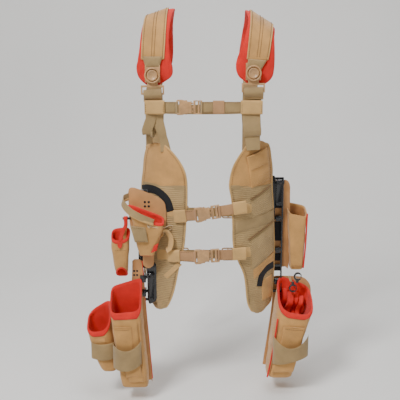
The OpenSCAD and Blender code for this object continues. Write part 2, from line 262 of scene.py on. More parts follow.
def material(key):
    """The vest's finishes, each made once."""
    if key not in STORE:
        c, s = colours(), sizes()
        make = {
            "cloth": lambda: woven("Tan cloth", tuple(c.cloth), s.weave_pitch),
            "keeper": lambda: woven("Keeper webbing", tuple(c.keeper), s.weave_pitch, 0.0005,
                                    ribs=s.rib_pitch),
            "webbing": lambda: woven("Olive webbing", tuple(c.webbing), s.weave_pitch, 0.0006,
                                     ribs=s.rib_pitch),
            "ribbed": lambda: woven("Ribbed panel webbing", tuple(shade(c.webbing, 1.15)),
                                    s.weave_pitch, 0.0012, ribs=s.rib_pitch * 2.2),
            "lining": lambda: woven("Red lining", tuple(c.lining), s.weave_pitch, 0.0005, sheen=0.1,
                                    rough=0.8),
            "mesh": lambda: woven("Red spacer mesh", tuple(c.lining), 0.0024, 0.0009, sheen=0.1,
                                  rough=0.85),
            "plastic": lambda: moulded("Tan plastic", tuple(c.plastic), 0.42, 0.08),
            "black": lambda: moulded("Black plastic", tuple(c.black), 0.22, 0.35),
            "hide": lambda: smooth_hide("Pouch plate", tuple(c.hide)),
            "thread": lambda: woven("Sewing thread", tuple(shade(c.cloth, 0.30)), 0.0006, 0.0001),
            "elastic": lambda: woven("Brown elastic", tuple(c.elastic), s.weave_pitch, 0.0003,
                                     ribs=s.rib_pitch),
            "mesh_black": lambda: woven("Black mesh band", tuple(c.black), 0.0022, 0.0008, sheen=0.1),
            "cord": lambda: woven("Tie cord", tuple(c.cord), 0.0012, 0.0004),
        }
        STORE[key] = make[key]()
    return STORE[key]


# ------------------------------------------------------------------ meshes on grids
def around(n):
    """n even angles round a circle."""
    return np.linspace(0, 2 * np.pi, n, endpoint=False)


def bent(v, power):
    """v raised to a power with its sign kept, which squares off a circle's cosine and sine."""
    return np.sign(v) * np.abs(v) ** power


def lengths(path):
    """How far along its path each point is."""
    return np.concatenate([[0], np.cumsum(np.linalg.norm(np.diff(path, axis=0), axis=1))])


def thread_map(mesh, uvs):
    """Writes the Thread map: one pair of lengths in metres for each face corner."""
    layer = mesh.uv_layers.new(name="Thread")
    flat = np.concatenate([np.asarray(u, dtype=np.float32).reshape(-1) for u in uvs])
    layer.data.foreach_set("uv", flat)


def show(name, data):
    """An object for a mesh, lamp or camera, linked to the scene."""
    obj = bpy.data.objects.new(name, data)
    bpy.context.scene.collection.objects.link(obj)
    return obj


def piece(name, verts, faces, uvs, keys, face_mat, body, nodes=()):
    """One closed mesh from arrays in mm: keys are its finishes, face_mat one index for each face."""
    tri = []
    for f in faces:
        tri.append(f[:, [0, 1, 2]])
        if f.shape[1] == 4:
            tri.append(f[:, [0, 2, 3]])
    tri = np.concatenate(tri)
    a, b, c = (verts[tri[:, i]] for i in range(3))
    if np.einsum("ij,ij->i", a, np.cross(b, c)).sum() < 0:
        faces = [f[:, ::-1] for f in faces]
        uvs = [u[:, ::-1] for u in uvs]
    mesh = bpy.data.meshes.new(name)
    flat = [tuple(int(i) for i in row) for f in faces for row in f.tolist()]
    mesh.from_pydata((verts * 0.001).tolist(), [], flat)
    for k in keys:
        mesh.materials.append(material(k))
    mesh.polygons.foreach_set("material_index", np.asarray(face_mat, dtype=np.int32))
    mesh.polygons.foreach_set("use_smooth", np.full(len(flat), True))
    thread_map(mesh, uvs)
    mesh.update()
    obj = show(name, mesh)
    if isinstance(body, tuple):
        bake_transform(obj)
    else:
        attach(obj, body)
    if nodes:
        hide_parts(*nodes)
    return obj


def loft(name, rings, keys, body, nodes=(), band_mat=None, ends=True):
    """A skin over a stack of closed rings, (rings, points, 3) in mm, each end closed by a fan to the
    ring's middle. u runs round the ring by its own arc length and v along the stack. band_mat has the
    index of the finish for each step of the stack."""
    rings = np.asarray(rings, dtype=float)
    n, m, _ = rings.shape
    verts = rings.reshape(-1, 3)
    i, j = np.meshgrid(np.arange(n - 1), np.arange(m), indexing="ij")
    k = (j + 1) % m
    quads = np.stack([i * m + j, i * m + k, (i + 1) * m + k, (i + 1) * m + j], -1).reshape(-1, 4)
    step = np.linalg.norm(np.roll(rings, -1, 1) - rings, axis=2).mean(0)
    u = np.concatenate([[0], np.cumsum(step)]) * 0.001
    along = np.linalg.norm(np.diff(rings, axis=0), axis=2).mean(1)
    v = np.concatenate([[0], np.cumsum(along)]) * 0.001
    quv = np.stack([np.stack([u[j], v[i]], -1), np.stack([u[j + 1], v[i]], -1),
                    np.stack([u[j + 1], v[i + 1]], -1), np.stack([u[j], v[i + 1]], -1)], -2)
    quv = quv.reshape(-1, 4, 2)
    mats = np.zeros(len(quads), dtype=int) if band_mat is None else np.repeat(np.asarray(band_mat), m)
    faces, uvs = [quads], [quv]
    if ends:
        mid = rings[[0, -1]].mean(1)
        verts = np.concatenate([verts, mid])
        a = np.arange(m)
        b = (a + 1) % m
        low = np.stack([b, a, np.full(m, n * m)], -1)
        high = np.stack([(n - 1) * m + a, (n - 1) * m + b, np.full(m, n * m + 1)], -1)
        tri = np.concatenate([low, high])
        faces.append(tri)
        uvs.append(verts[tri][:, :, :2] * 0.001)
        mats = np.concatenate([mats, np.full(m, mats[0]), np.full(m, mats[-1])])
    return piece(name, verts, faces, uvs, keys, mats, body, nodes)


def ring_loft(name, rings, keys, body, nodes=(), band_mat=None):
    """A skin whose last ring is its first again: the two are merged, so it closes on itself."""
    obj = loft(name, rings, keys, body, nodes, band_mat, ends=False)
    bm = bmesh.new()
    bm.from_mesh(obj.data)
    bmesh.ops.remove_doubles(bm, verts=bm.verts, dist=1e-6)
    bm.to_mesh(obj.data)
    bm.free()
    return obj


def unit(v):
    """Vectors brought to length 1."""
    return v / np.maximum(np.linalg.norm(v, axis=-1, keepdims=True), 1e-9)


def curve(points, n):
    """Catmull-Rom curve through given points, sampled at n even steps of length."""
    p = np.asarray(points, dtype=float)
    q = np.concatenate([[2 * p[0] - p[1]], p, [2 * p[-1] - p[-2]]])
    t = np.linspace(0, 1, 24, endpoint=False)[:, None]
    a, b, c, d = (q[i:len(q) - 3 + i, None] for i in range(4))
    square, cube = 2 * a - 5 * b + 4 * c - d, 3 * b - a - 3 * c + d
    cur = 0.5 * (2 * b + (c - a) * t + square * t ** 2 + cube * t ** 3)
    cur = np.concatenate([cur.reshape(-1, p.shape[1]), p[-1:]])
    s = lengths(cur)
    g = np.linspace(0, s[-1], n)
    return np.stack([np.interp(g, s, cur[:, i]) for i in range(p.shape[1])], -1)


def flat_section(w, t, m=20):
    """Cross-section of a strap, wide w and thick t: its sides are nearly square, its edges round."""
    a = around(m)
    return np.stack([bent(np.cos(a), 1 / 3.5) * w / 2, bent(np.sin(a), 1 / 2.0) * t / 2], -1)


def strap(name, path, across, w, t, key, body, nodes=()):
    """Webbing along a path: the flat section carried along it, its width held to the across direction.
    w is one width or one for each point."""
    path = np.asarray(path, dtype=float)
    tan = unit(np.gradient(path, axis=0))
    side = np.broadcast_to(np.asarray(across, dtype=float), path.shape)
    side = unit(side - (side * tan).sum(1, keepdims=True) * tan)
    nrm = np.cross(tan, side)
    sec = flat_section(1, 1, 24)
    wide = np.broadcast_to(np.asarray(w, dtype=float), (len(path),))
    rings = path[:, None] + side[:, None] * (sec[None, :, :1] * wide[:, None, None]) \
        + nrm[:, None] * (sec[None, :, 1:] * t)
    return loft(name, rings, [key], body, nodes)


def tube(name, path, r, key, body, nodes=(), m=8, closed=False):
    """Round section of radius r carried along a path."""
    path = np.asarray(path, dtype=float)
    if closed:
        tan = unit(np.roll(path, -1, 0) - np.roll(path, 1, 0))
        ref = np.array([[0, 1.0, 0]])
    else:
        tan = unit(np.gradient(path, axis=0))
        ref = np.where(np.abs(tan[:, 2:3]) > 0.9, np.array([[1.0, 0, 0]]), np.array([[0, 0, 1.0]]))
    a = unit(np.cross(tan, ref))[:, None]
    b = np.cross(tan, a[:, 0])[:, None]
    g = around(m)
    rings = path[:, None] + r * (a * np.cos(g)[None, :, None] + b * np.sin(g)[None, :, None])
    if closed:
        return ring_loft(name, np.concatenate([rings, rings[:1]]), [key], body, nodes)
    return loft(name, rings, [key], body, nodes)


def stitch_row(name, line, out, body):
    """A row of thread along a line on a surface: a five-sided spindle for each stitch, laid end to end.
    out is the surface's outward direction, or one for each point."""
    line = np.asarray(line, dtype=float)
    out = np.broadcast_to(np.asarray(out, dtype=float), line.shape)
    raised = line + out * 0.15
    s = lengths(raised)
    at = np.arange(STITCH_PITCH, s[-1] - STITCH_PITCH, STITCH_PITCH)
    start, end = (np.stack([np.interp(at + half, s, raised[:, i]) for i in range(3)], -1)
                  for half in (-STITCH_LENGTH / 2, STITCH_LENGTH / 2))
    d = unit(end - start)
    a = unit(np.cross(d, unit(out.mean(0) + np.array([1e-3, 2e-3, 0]))))
    b = np.cross(a, d)
    g = around(5)
    swell = np.array([0.02, 1, 1, 0.02]) * STITCH_RADIUS
    along = np.array([0, 0.22, 0.78, 1])
    c = start[:, None] + (end - start)[:, None] * along[None, :, None]
    spoke = a[:, None, None] * np.cos(g)[None, None, :, None] + b[:, None, None] * np.sin(g)[None, None, :,
                                                                                             None]
    verts = (c[:, :, None] + swell[None, :, None, None] * spoke).reshape(-1, 3)
    n = len(at)
    i, k, j = np.meshgrid(np.arange(n), np.arange(3), np.arange(5), indexing="ij")
    base = i * 20 + k * 5
    k1 = (j + 1) % 5
    sides = np.stack([base + j, base + k1, base + 5 + k1, base + 5 + j], -1).reshape(-1, 4)
    first = np.arange(n)[:, None] * 20
    faces = [sides, first + np.array([[4, 3, 2, 1, 0]]), first + 15 + np.arange(5)[None]]
    uvs = [verts[f][:, :, :2] * 0.001 for f in faces]
    return piece(name, verts, faces, uvs, ["thread"], np.zeros(n * 17, dtype=int), body)


def rounded(name, node, width, key, body):
    """The moulded part again with its sharp edges eased: a copy of the solid, its loose triangles
    merged and flat faces joined, with a bevel."""
    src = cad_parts[node]
    mesh = src.data.copy()
    mesh.name = name
    mesh.transform(src.matrix_world)
    bm = bmesh.new()
    bm.from_mesh(mesh)
    bmesh.ops.remove_doubles(bm, verts=bm.verts, dist=1e-6)
    bmesh.ops.dissolve_limit(bm, angle_limit=0.02, verts=bm.verts, edges=bm.edges)
    bm.to_mesh(mesh)
    bm.free()
    mesh.materials.clear()
    mesh.materials.append(material(key))
    mesh.polygons.foreach_set("material_index", np.zeros(len(mesh.polygons), dtype=np.int32))
    mesh.polygons.foreach_set("use_smooth", np.full(len(mesh.polygons), True))
    obj = show(name, mesh)
    mod = obj.modifiers.new("Eased edges", "BEVEL")
    mod.width = width
    mod.segments = 2
    mod.limit_method = "ANGLE"
    mod.angle_limit = math.radians(35)
    mod.harden_normals = True
    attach(obj, body)
    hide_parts(node)


# ------------------------------------------------------------------ soft shapes
def chest(x, r):
    """Depth of the chest cylinder of radius r at x: y = CHEST_Y - sqrt(r^2 - x^2)."""
    return CHEST_Y - np.sqrt(np.maximum(r * r - np.asarray(x, dtype=float) ** 2, 1.0))


def ripple(p, size, amp, seed=0.0):
    """Soft creases: the sum of five sine waves that cross at different angles."""
    q = p / size
    w = np.zeros(p.shape[:-1])
    for k, (a, b, c, f) in enumerate(((1, .3, .5, 1.0), (-.4, 1, .2, 1.7), (.6, -.5, 1, 2.3),
                                      (.9, .8, -.6, 3.1), (-.7, .4, .9, 4.3))):
        w = w + np.sin(f * (a * q[..., 0] + b * q[..., 1] + c * q[..., 2]) + seed + k * 1.9) / f ** 0.7
    return amp * w / 2.2


def arch(length, r):
    """The shoulder line at radius r: up 63 mm, half round a circle centred 95 mm down, then down again.
    Gives y, z and the outward direction for each length measured along the 95 mm circle."""
    l = np.asarray(length, dtype=float)
    a = np.clip((l - 63) / 95, 0, np.pi)
    y = -r * np.cos(a)
    z = -95 + r * np.sin(a) - np.maximum(63 - l, 0) - np.maximum(l - 63 - 95 * np.pi, 0)
    return y, z, -np.cos(a), np.sin(a)


def over_shoulder(name, table, r, thick, lean, drop, key, body, nodes=(), power=3.0, seam=0.0, crown=0.0):
    """A flat section carried over the shoulder. table has the length along the arch and the inner and
    outer x. lean tips it sideways (rise per mm of x) most at the top, as a bell curve of the length."""
    l = np.linspace(table[0][0], table[-1][0], 150)
    fine = curve(table, 400)
    xa = np.interp(l, fine[:, 0], fine[:, 1])
    xb = np.interp(l, fine[:, 0], fine[:, 2])
    g = around(56)
    c, s = bent(np.cos(g), 1 / power), bent(np.sin(g), 0.62)
    mid, half = (xa + xb) / 2, (xb - xa) / 2
    x = mid[:, None] + half[:, None] * c[None]
    y, z, ny, nz = arch(l, r)
    up = s[None] * (thick / 2 + crown * (1 - np.abs(c[None]) ** 2.2))
    up = up - seam * np.exp(-((c[None]) / 0.035) ** 2) * (s[None] > 0)
    p = np.stack([x, y[:, None] + up * ny[:, None], z[:, None] + up * nz[:, None]], -1)
    bell = np.exp(-((l - 212) / 88) ** 2)
    p[..., 2] += bell[:, None] * (lean * (x - mid[:, None]) + drop)
    fade = np.sin(np.pi * np.linspace(0, 1, len(l))) ** 0.2
    p[..., 1:] += (ripple(p, 16, 0.35, 1.0) * fade[:, None])[..., None] * np.stack([ny, nz], -1)[:, None]
    return loft(name, p, [key], body, nodes)


def edge_line(table, r, lean, drop, at, lift, l0, l1):
    """A line along a shoulder piece: at runs from 0, one edge, to 1, the other."""
    t = curve(table, 400)
    l = np.linspace(l0, l1, 160)
    xa, xb = np.interp(l, t[:, 0], t[:, 1]), np.interp(l, t[:, 0], t[:, 2])
    x = xa + (xb - xa) * at
    y, z, ny, nz = arch(l, r)
    p = np.stack([x, y + lift * ny, z + lift * nz], -1)
    p[:, 2] += np.exp(-((l - 212) / 88) ** 2) * (lean * (x - (xa + xb) / 2) + drop)
    return p, np.stack([0 * x, ny, nz], -1)


def pouch(name, levels, wall, mouth, keys, body, nodes=(), power=4.5, creases=1.2, rim=2.0, rim_high=7.0,
          floor=True, seed=0.0):
    """A cloth bag: rounded-box rings rise from the floor to the mouth, roll over a bound rim, and go
    down inside. levels are (height from 0 at the floor to 1 at the mouth, left, right, front, back) and
    mouth gives the rim's height for each x and y, so every ring leans a little more towards it.
    keys: outside, lining and binding."""
    t = curve(levels, 200)
    def ring(h, inset):
        xl, xr, yf, yb = (np.interp(h, t[:, 0], t[:, i]) for i in range(1, 5))
        c, s = bent(np.cos(around(88)), 2 / power), bent(np.sin(around(88)), 2 / power)
        x = (xl + xr) / 2 + ((xr - xl) / 2 - inset) * c
        y = (yf + yb) / 2 + ((yb - yf) / 2 - inset) * s
        foot = mouth["foot"](y, yf, yb)
        z = foot + h * (mouth["at"](x, y, xl, xr, yf, yb) - foot)
        p = np.stack([x, y, z], -1)
        w = ripple(p, 20, creases, seed) * math.sin(math.pi * min(1, h * 0.94)) ** 0.5
        p[:, :2] += unit(np.stack([c, s], -1)) * w[:, None]
        return p

    def shrunk(outline, share):
        """An outline drawn in towards its middle, for the floor."""
        mid = outline.mean(0)
        return mid + (outline - mid) * share

    tall = abs(float(mouth["tall"]))
    band = 1 - rim_high / tall
    rings, mats = [], []
    if floor:
        rings += [shrunk(ring(0.0, 0.0), k) for k in (0.35, 0.7, 0.9)] + [ring(0.004, 1.2)]
    rings += [ring(h, 0.0) for h in np.linspace(0.012, band, 44)]
    mats += [0] * (len(rings) - 1) + [2]
    for h, inset in ((band + 0.002, -rim * 0.35), (band + (1 - band) * 0.4, -rim * 0.45),
                     (1 - 0.25 * (1 - band), -rim * 0.4), (1.0, -rim * 0.1), (1.0 + 0.3 / tall, wall * 0.4),
                     (1.0, wall * 0.9), (1 - 0.4 * (1 - band), wall * 1.15), (band, wall * 1.1)):
        rings.append(ring(h, inset))
        mats.append(2)
    mats[-1] = 1
    for h in np.linspace(band - 0.01, wall / tall + 0.01, 22):
        rings.append(ring(h, wall))
        mats.append(1)
    if floor:
        rings += [shrunk(ring(wall / tall, wall), k) for k in (0.85, 0.5, 0.2)]
        return loft(name, rings, keys, body, nodes, band_mat=mats + [1, 1])
    rings += [ring(0.0, wall * 0.5), rings[0]]
    return ring_loft(name, rings, keys, body, nodes, band_mat=mats + [2])


def slope_mouth(front, back, floor, power=1.0, dip=0.0, side=0.0, twist=0.0, cut=0.0):
    """Rim height: front at the front, back at the back, as a power of the depth between them, with an
    optional dip in the middle of the front, a rise towards one side, and a twist that tilts the back.
    cut raises the foot's front edge, where the foot is open."""
    def at(x, y, xl, xr, yf, yb):
        d = np.clip((y - yf) / (yb - yf), 0, 1) ** power
        u = (x - xl) / (xr - xl) * 2 - 1
        return front + (back - front) * d - dip * (1 - u * u) * (1 - d) + side * u + twist * (u - 0.6) * d

    def foot(y, yf, yb):
        return floor + cut * (1 - np.clip((y - yf) / (yb - yf), 0, 1)) ** 1.5
    return {"at": at, "foot": foot, "tall": (front + back) / 2 - floor}


def patch(name, corners, r0, thick, key, body, nodes=(), puff=1.0, on="chest", seed=0.0):
    """A sewn-on piece: a grid between four corners (x, z: top left, top right, bottom right, bottom
    left) laid on the chest at radius r0, or on a flat face at depth r0, thick and a little puffed."""
    u, v = np.meshgrid(np.linspace(0, 1, 34), np.linspace(0, 1, 44), indexing="xy")
    c = np.asarray(corners, dtype=float)
    xz = (c[0] * (1 - u)[..., None] * (1 - v)[..., None] + c[1] * u[..., None] * (1 - v)[..., None]
          + c[2] * u[..., None] * v[..., None] + c[3] * (1 - u)[..., None] * v[..., None])
    edge = np.minimum(np.minimum(u, 1 - u), np.minimum(v, 1 - v))
    lip = np.clip(edge / 0.06, 0, 1) ** 0.5
    swell = (16 * u * (1 - u) * v * (1 - v)) ** 0.6
    high = thick * lip + puff * swell
    x, z = xz[..., 0], xz[..., 1]
    flat = np.stack([x, 0 * x, z], -1)
    high = high + ripple(flat, 14, 0.4, seed) * swell
    if on == "chest":
        front = np.stack([x, chest(x, r0 + high), z], -1)
        back = np.stack([x, chest(x, r0), z], -1)
    else:
        front = np.stack([x, r0 - high, z], -1)
        back = np.stack([x, 0 * x + r0, z], -1)
    # rings: each row goes across the front and back again along the rear
    rings = np.concatenate([front, back[:, ::-1]], axis=1)
    return loft(name, rings, [key], body, nodes)


def outline_on_chest(points, r, n):
    """A curve through points (x, z), laid on the chest at radius r."""
    p = curve(points, n)
    return np.stack([p[:, 0], chest(p[:, 0], r), p[:, 1]], -1)


def loop_band(name, loop, across, w, t, key, body, nodes=(), m=24):
    """Webbing sewn into a ring: the flat section carried round a closed path."""
    loop = np.asarray(loop, dtype=float)
    tan = unit(np.roll(loop, -1, 0) - np.roll(loop, 1, 0))
    side = unit(np.broadcast_to(np.asarray(across, dtype=float), loop.shape))
    nrm = np.cross(tan, side)
    sec = flat_section(w, t, m)
    rings = loop[:, None] + side[:, None] * sec[None, :, :1] + nrm[:, None] * sec[None, :, 1:]
    return ring_loft(name, np.concatenate([rings, rings[:1]]), [key], body, nodes)


def rounded_loop(cy, cz, dy, dz, n=48, power=5.0):
    """Closed rounded rectangle in a Y-Z plane: half sizes dy and dz, corners as a superellipse."""
    g = around(n)
    return cy + dy * bent(np.cos(g), 2 / power), cz + dz * bent(np.sin(g), 2 / power)


def lathe(name, centre, profile, key, body, m=48):
    """Turned part on an axis along Y: profile is (radius, y) from the back to the front."""
    p = np.asarray(profile, dtype=float)
    g = around(m)
    rings = np.stack([centre[0] + p[:, :1] * np.cos(g), np.broadcast_to(p[:, 1:], (len(p), m)),
                      centre[1] + p[:, :1] * np.sin(g)], -1)
    return loft(name, rings, [key], body)


def plate(name, points, y0, y1, key, body, nodes=(), ease=1.0, n=120):
    """A flat plate with a smooth outline in X-Z, its edges eased on both faces."""
    out = curve(points + [points[0]], n + 1)[:-1]
    mid = out.mean(0)
    tan = unit(np.roll(out, -1, 0) - np.roll(out, 1, 0))
    nrm = np.stack([tan[:, 1], -tan[:, 0]], -1)
    if ((out - mid) * nrm).sum() < 0:
        nrm = -nrm

    def ring(outline, y):
        return np.stack([outline[:, 0], np.full(n, y), outline[:, 1]], -1)

    inner = out - nrm * ease - mid
    rings = [ring(mid + inner * share, y1) for share in (0.0005, 0.3, 0.7)]
    for inset, y in ((ease, y1), (ease * 0.3, y1 - ease * 0.25), (0, y1 - ease * 0.7), (0, y0 + ease * 0.7),
                     (ease * 0.3, y0 + ease * 0.25), (ease, y0)):
        rings.append(ring(out - nrm * inset, y))
    rings += [ring(mid + inner * share, y0) for share in (0.7, 0.3, 0.0005)]
    return loft(name, rings, [key], body, nodes)


def inflate(obj, cap, hold, stiff=12.0):
    """Cloth pass for a padded piece: the closed mesh is blown up from inside for CLOTH_FRAMES with no
    gravity, no point moves further than cap mm, and hold (0 free to 1 kept) keeps sewn parts still. The
    result is written to the mesh and the modifier is taken off again."""
    scene = bpy.context.scene
    mesh = obj.data
    n = len(mesh.vertices)
    rest = np.empty(n * 3)
    mesh.vertices.foreach_get("co", rest)
    rest = rest.reshape(-1, 3)
    keep = hold(rest * 1000)
    group = obj.vertex_groups.new(name="Sewn")
    for level in np.unique(np.round(keep, 1)):
        if level > 0:
            group.add(np.nonzero(np.round(keep, 1) == level)[0].tolist(), float(level), "REPLACE")
    mod = obj.modifiers.new("Padding", "CLOTH")
    st = mod.settings
    st.quality = 5
    st.mass = 0.3
    st.tension_stiffness = st.compression_stiffness = st.shear_stiffness = stiff
    st.bending_stiffness = 0.4
    st.use_pressure = True
    st.uniform_pressure_force = CLOTH_PRESSURE
    st.effector_weights.gravity = 0
    st.vertex_group_mass = "Sewn"
    mod.collision_settings.use_collision = False
    mod.point_cache.frame_start = 1
    mod.point_cache.frame_end = CLOTH_FRAMES
    for f in range(1, CLOTH_FRAMES + 1):
        scene.frame_set(f)
    grown = np.empty(n * 3)
    made = obj.evaluated_get(bpy.context.evaluated_depsgraph_get()).to_mesh()
    if len(made.vertices) != n:
        raise RuntimeError(f"{obj.name}: the cloth pass changed the number of points")
    made.vertices.foreach_get("co", grown)
    move = (grown.reshape(-1, 3) - rest) * 1000
    if not np.isfinite(move).all() or np.abs(move).max() < 0.01:
        raise RuntimeError(f"{obj.name}: the cloth pass gave no usable shape")
    size = np.linalg.norm(move, axis=1, keepdims=True)
    move *= cap * np.tanh(size / cap) / np.maximum(size, 1e-9) * (1 - keep)[:, None]
    obj.modifiers.remove(mod)
    obj.vertex_groups.remove(group)
    scene.frame_set(1)
    mesh.vertices.foreach_set("co", (rest + move * 0.001).ravel())
    mesh.update()


# ------------------------------------------------------------------ operators
class VestStep(bpy.types.Operator):
    """Shared base: every step makes its pieces or raises an error."""
    bl_idname = "vest.step"
    bl_label = "Vest step"

    def make(self):
        raise NotImplementedError

    def execute(self, context):
        self.make()
        return {"FINISHED"}


# Shoulder pieces from the front foot to the back foot: length along the arch, inner x and outer x.
LEFT_PAD = [(0, -105, -134), (8, -92, -144), (20, -77, -153), (38, -74, -157), (60, -78, -154),
            (100, -81, -148), (150, -79, -144), (212, -72, -141), (280, -78, -144), (361, -80, -150),
            (388, -86, -146), (396, -100, -130)]
RIGHT_PAD = [(0, 96, 128), (8, 86, 140), (20, 72, 149), (38, 66, 152), (60, 69, 153), (100, 84, 153),
             (150, 95, 156), (212, 91, 158), (280, 92, 156), (361, 82, 148), (388, 86, 142), (396, 98, 128)]
LEFT_COVER = [(56, -95, -144), (100, -92, -142), (150, -90, -140), (212, -88, -138), (280, -90, -140),
              (386, -92, -142)]
RIGHT_COVER = [(56, 91, 137), (100, 96, 144), (150, 101, 150), (212, 103, 154), (280, 98, 150),
               (386, 88, 138)]


class VEST_OT_shoulders(VestStep):
    """Pads of red mesh over foam, with a tan cover sewn along the top of each"""
    bl_idname = "vest.shoulders"
    bl_label = "Shoulders"

    def make(self):
        crown = sizes().pad_crown * 1000
        for side, pad, cover, lean, drop in (("left", LEFT_PAD, LEFT_COVER, 0.34, -2.0),
                                             ("right", RIGHT_PAD, RIGHT_COVER, -0.62, -14.0)):
            p = over_shoulder(f"shoulder_pad_{side}_foam", pad, 95, 9.0, lean, drop, "mesh", "vest",
                              (f"shoulder_pad_{side}",), power=3.2, crown=crown)
            mid = np.mean([edge for row in cover for edge in row[1:]])

            def under_cover(q, mid=mid):
                """1 where the sewn cover lies on the pad, falling to 0 at its edges."""
                r = np.hypot(q[:, 1], np.maximum(q[:, 2] + 95, 0))
                near = np.clip((34 - np.abs(q[:, 0] - mid)) / 8, 0, 1)
                return near * np.clip((r - 92) / 4, 0, 1)

            inflate(p, 3.5, under_cover)
            over_shoulder(f"shoulder_cover_{side}_cloth", cover, 101.6, 2.4, lean, drop, "cloth", "vest",
                          (f"shoulder_cover_{side}",), power=6, seam=0.8, crown=0.9)
            for k, at in enumerate((0.06, 0.44, 0.56, 0.94)):
                line, out = edge_line(cover, 101.6, lean, drop, at, 2.1, 60, 380)
                stitch_row(f"shoulder_stitch_{side}_{k}", line, out, "vest")
            for at in (0.0, 1.0):
                line, _ = edge_line(cover, 101.6, lean, drop, at, 0.3, 57, 384)
                tube(f"shoulder_edge_{side}_{int(at)}", line, 1.5, "keeper", "vest")
            self.fold(side, *sorted(cover[0][1:]))

    def fold(self, side, low_x, high_x):
        """The cover's foot, which narrows down to the swivel."""
        post = POSTS[side][0]
        z, skew = (-104, 0) if side == "left" else (-109, 9)
        patch(f"shoulder_fold_{side}", [(low_x + 2, z + 9), (high_x - 2, z + 9 - skew * 0.4),
                                        (post + 15.5, z - 15 - skew * 0.3), (post - 15.5, z - 15)],
              -103.6, 2.4, "webbing", "vest", puff=1.2, on="flat", seed=3)


class VEST_OT_hardware(VestStep):
    """Moulded parts with eased edges: swivels, buckles, rails, latches and snap hooks"""
    bl_idname = "vest.hardware"
    bl_label = "Hardware"

    def make(self):
        for side in ("left", "right"):
            rounded(f"swivel_plate_{side}", f"swivel_base_{side}", 0.0011, "plastic", "vest")
            rounded(f"swivel_frame_{side}", f"swivel_loop_{side}", 0.0012, "plastic", f"swivel_{side}")
            lathe(f"swivel_disc_{side}", POSTS[side],
                  [(0.3, -111.6), (17.2, -111.6), (17.6, -113), (17.5, -117.6), (16.6, -118.6),
                   (14.8, -118.6), (14.1, -117.8), (14.0, -114.6), (12.0, -114.6), (11.9, -118),
                   (11.2, -118.9), (9.2, -118.9), (8.6, -118), (0.3, -117.8)], "plastic", "vest")
            rounded(f"rail_frame_{side}", f"rail_{side}", 0.0009, "black", "vest")
            rounded(f"latch_lever_{side}", f"latch_{side}", 0.0012, "black", f"latch_{side}")
        for row in ("chest", "upper", "lower"):
            rounded(f"{row}_buckle_socket", f"{row}_socket", 0.0014, "plastic", "vest")
            rounded(f"{row}_buckle_plug", f"{row}_plug", 0.0013, "plastic", f"{row}_plug")
            for end in ("top", "bottom"):
                rounded(f"{row}_arm_{end}", f"{row}_prong_{end}", 0.0007, "plastic", f"{row}_prong_{end}")
        rounded("bag_left_hooks", "bag_left_clip", 0.0009, "black", "bag_left")
        rounded("snap_hook_rings", "snap_hooks", 0.0011, "black", "bag_right")
        for g in ("gate_a", "gate_b"):
            rounded(f"{g}_bar", g, 0.0005, "black", g)


class VEST_OT_harness(VestStep):
    """Harness webbing: folded through the swivel frames, down through the keepers, on to the panels"""
    bl_idname = "vest.harness"
    bl_label = "Harness webbing"

    def make(self):
        self.side("left", 41, [(-118, -103, -176), (-117, -102.6, -206), (-114, -103.4, -222),
                               (-108, -104, -243), (-100, -103.5, -265), (-95, -101, -286),
                               (-92, -100.5, -308)], ([0, .33, .5, .75, 1], [40, 40, 26, 17, 24]), -116, 45)
        self.side("right", 44, [(103, -103.2, -172), (102, -103.6, -206), (101, -105.6, -226),
                                (101, -107.5, -246), (104, -108, -268), (106, -109, -288),
                                (107, -109.5, -304)], ([0, .4, .7, 1], [43, 43, 36, 31]), 102, 49)
        for name, points, n, across, w in (
                ("left", [(-121, -106, -222), (-125, -109, -234), (-130, -112.5, -248), (-133, -113, -258),
                          (-132, -110, -266), (-128, -105, -268), (-124, -101, -262), (-121, -99.6, -250)],
                 70, (1, 0.25, -0.35), 24),
                ("left_back", [(-116, -98.6, -232), (-124, -97.5, -258), (-129, -94, -276),
                               (-130, -87, -292)], 40, (1, 0.3, 0.1), 15),
                ("right", [(102, -106.5, -222), (102.5, -110.5, -234), (103, -114.5, -248), (104, -116, -259),
                           (104, -113.5, -268), (104, -109.5, -270.5), (104, -108.2, -264)],
                 50, (1, 0.1, 0.06), 40)):
            strap(f"harness_lobe_{name}", curve(points, n), across, w, 1.9, "webbing", "vest")

    def side(self, side, fold_w, down, widths, keeper_x, keeper_w):
        """One side's fold through the swivel, its drop to the panel, and the keeper round it. widths are
        the shares of the drop's length and the width at each."""
        x, post = POSTS[side]
        z = post - 33  # under the frame's lower bar
        fold = curve([(x, -103.2, z - 26), (x, -103.6, z - 12), (x, -104, z - 3), (x, -106.5, z + 0.4),
                      (x, -111.5, z + 0.4), (x, -114, z - 3), (x + 0.5, -114.2, z - 11),
                      (x + 1, -110.5, z - 16), (x + 1, -106.2, z - 20), (x + 1, -105.4, z - 25)], 60)
        across_joint = ("vest", f"swivel_{side}", (x / 1000, -0.104, (z - 25) / 1000),
                        (x / 1000, -0.104, (z - 4) / 1000))
        strap(f"harness_fold_{side}", fold, (1, 0.0, 0.05), fold_w, 1.9, "webbing", across_joint,
              (f"harness_webbing_{side}",))
        wide = np.interp(np.linspace(0, 1, 70), *widths)
        strap(f"harness_drop_{side}", curve(down, 70), (1, 0.12, 0.08), wide, 1.9, "webbing", "vest")
        y, z = rounded_loop(-109.2, -207, 4.4, 15.0)
        loop = np.stack([np.full(len(y), float(keeper_x)), y, z], -1)
        loop_band(f"keeper_{side}_sleeve", loop, (1, 0, 0), keeper_w, 1.4, "keeper", "vest",
                  (f"keeper_{side}",))
        for k, dx in enumerate((2.5 - keeper_w / 2, keeper_w / 2 - 2.5)):
            row = np.linspace((keeper_x + dx, -114.5, -220), (keeper_x + dx, -114.5, -194), 30)
            stitch_row(f"keeper_stitch_{side}_{k}", row, FRONT, "vest")


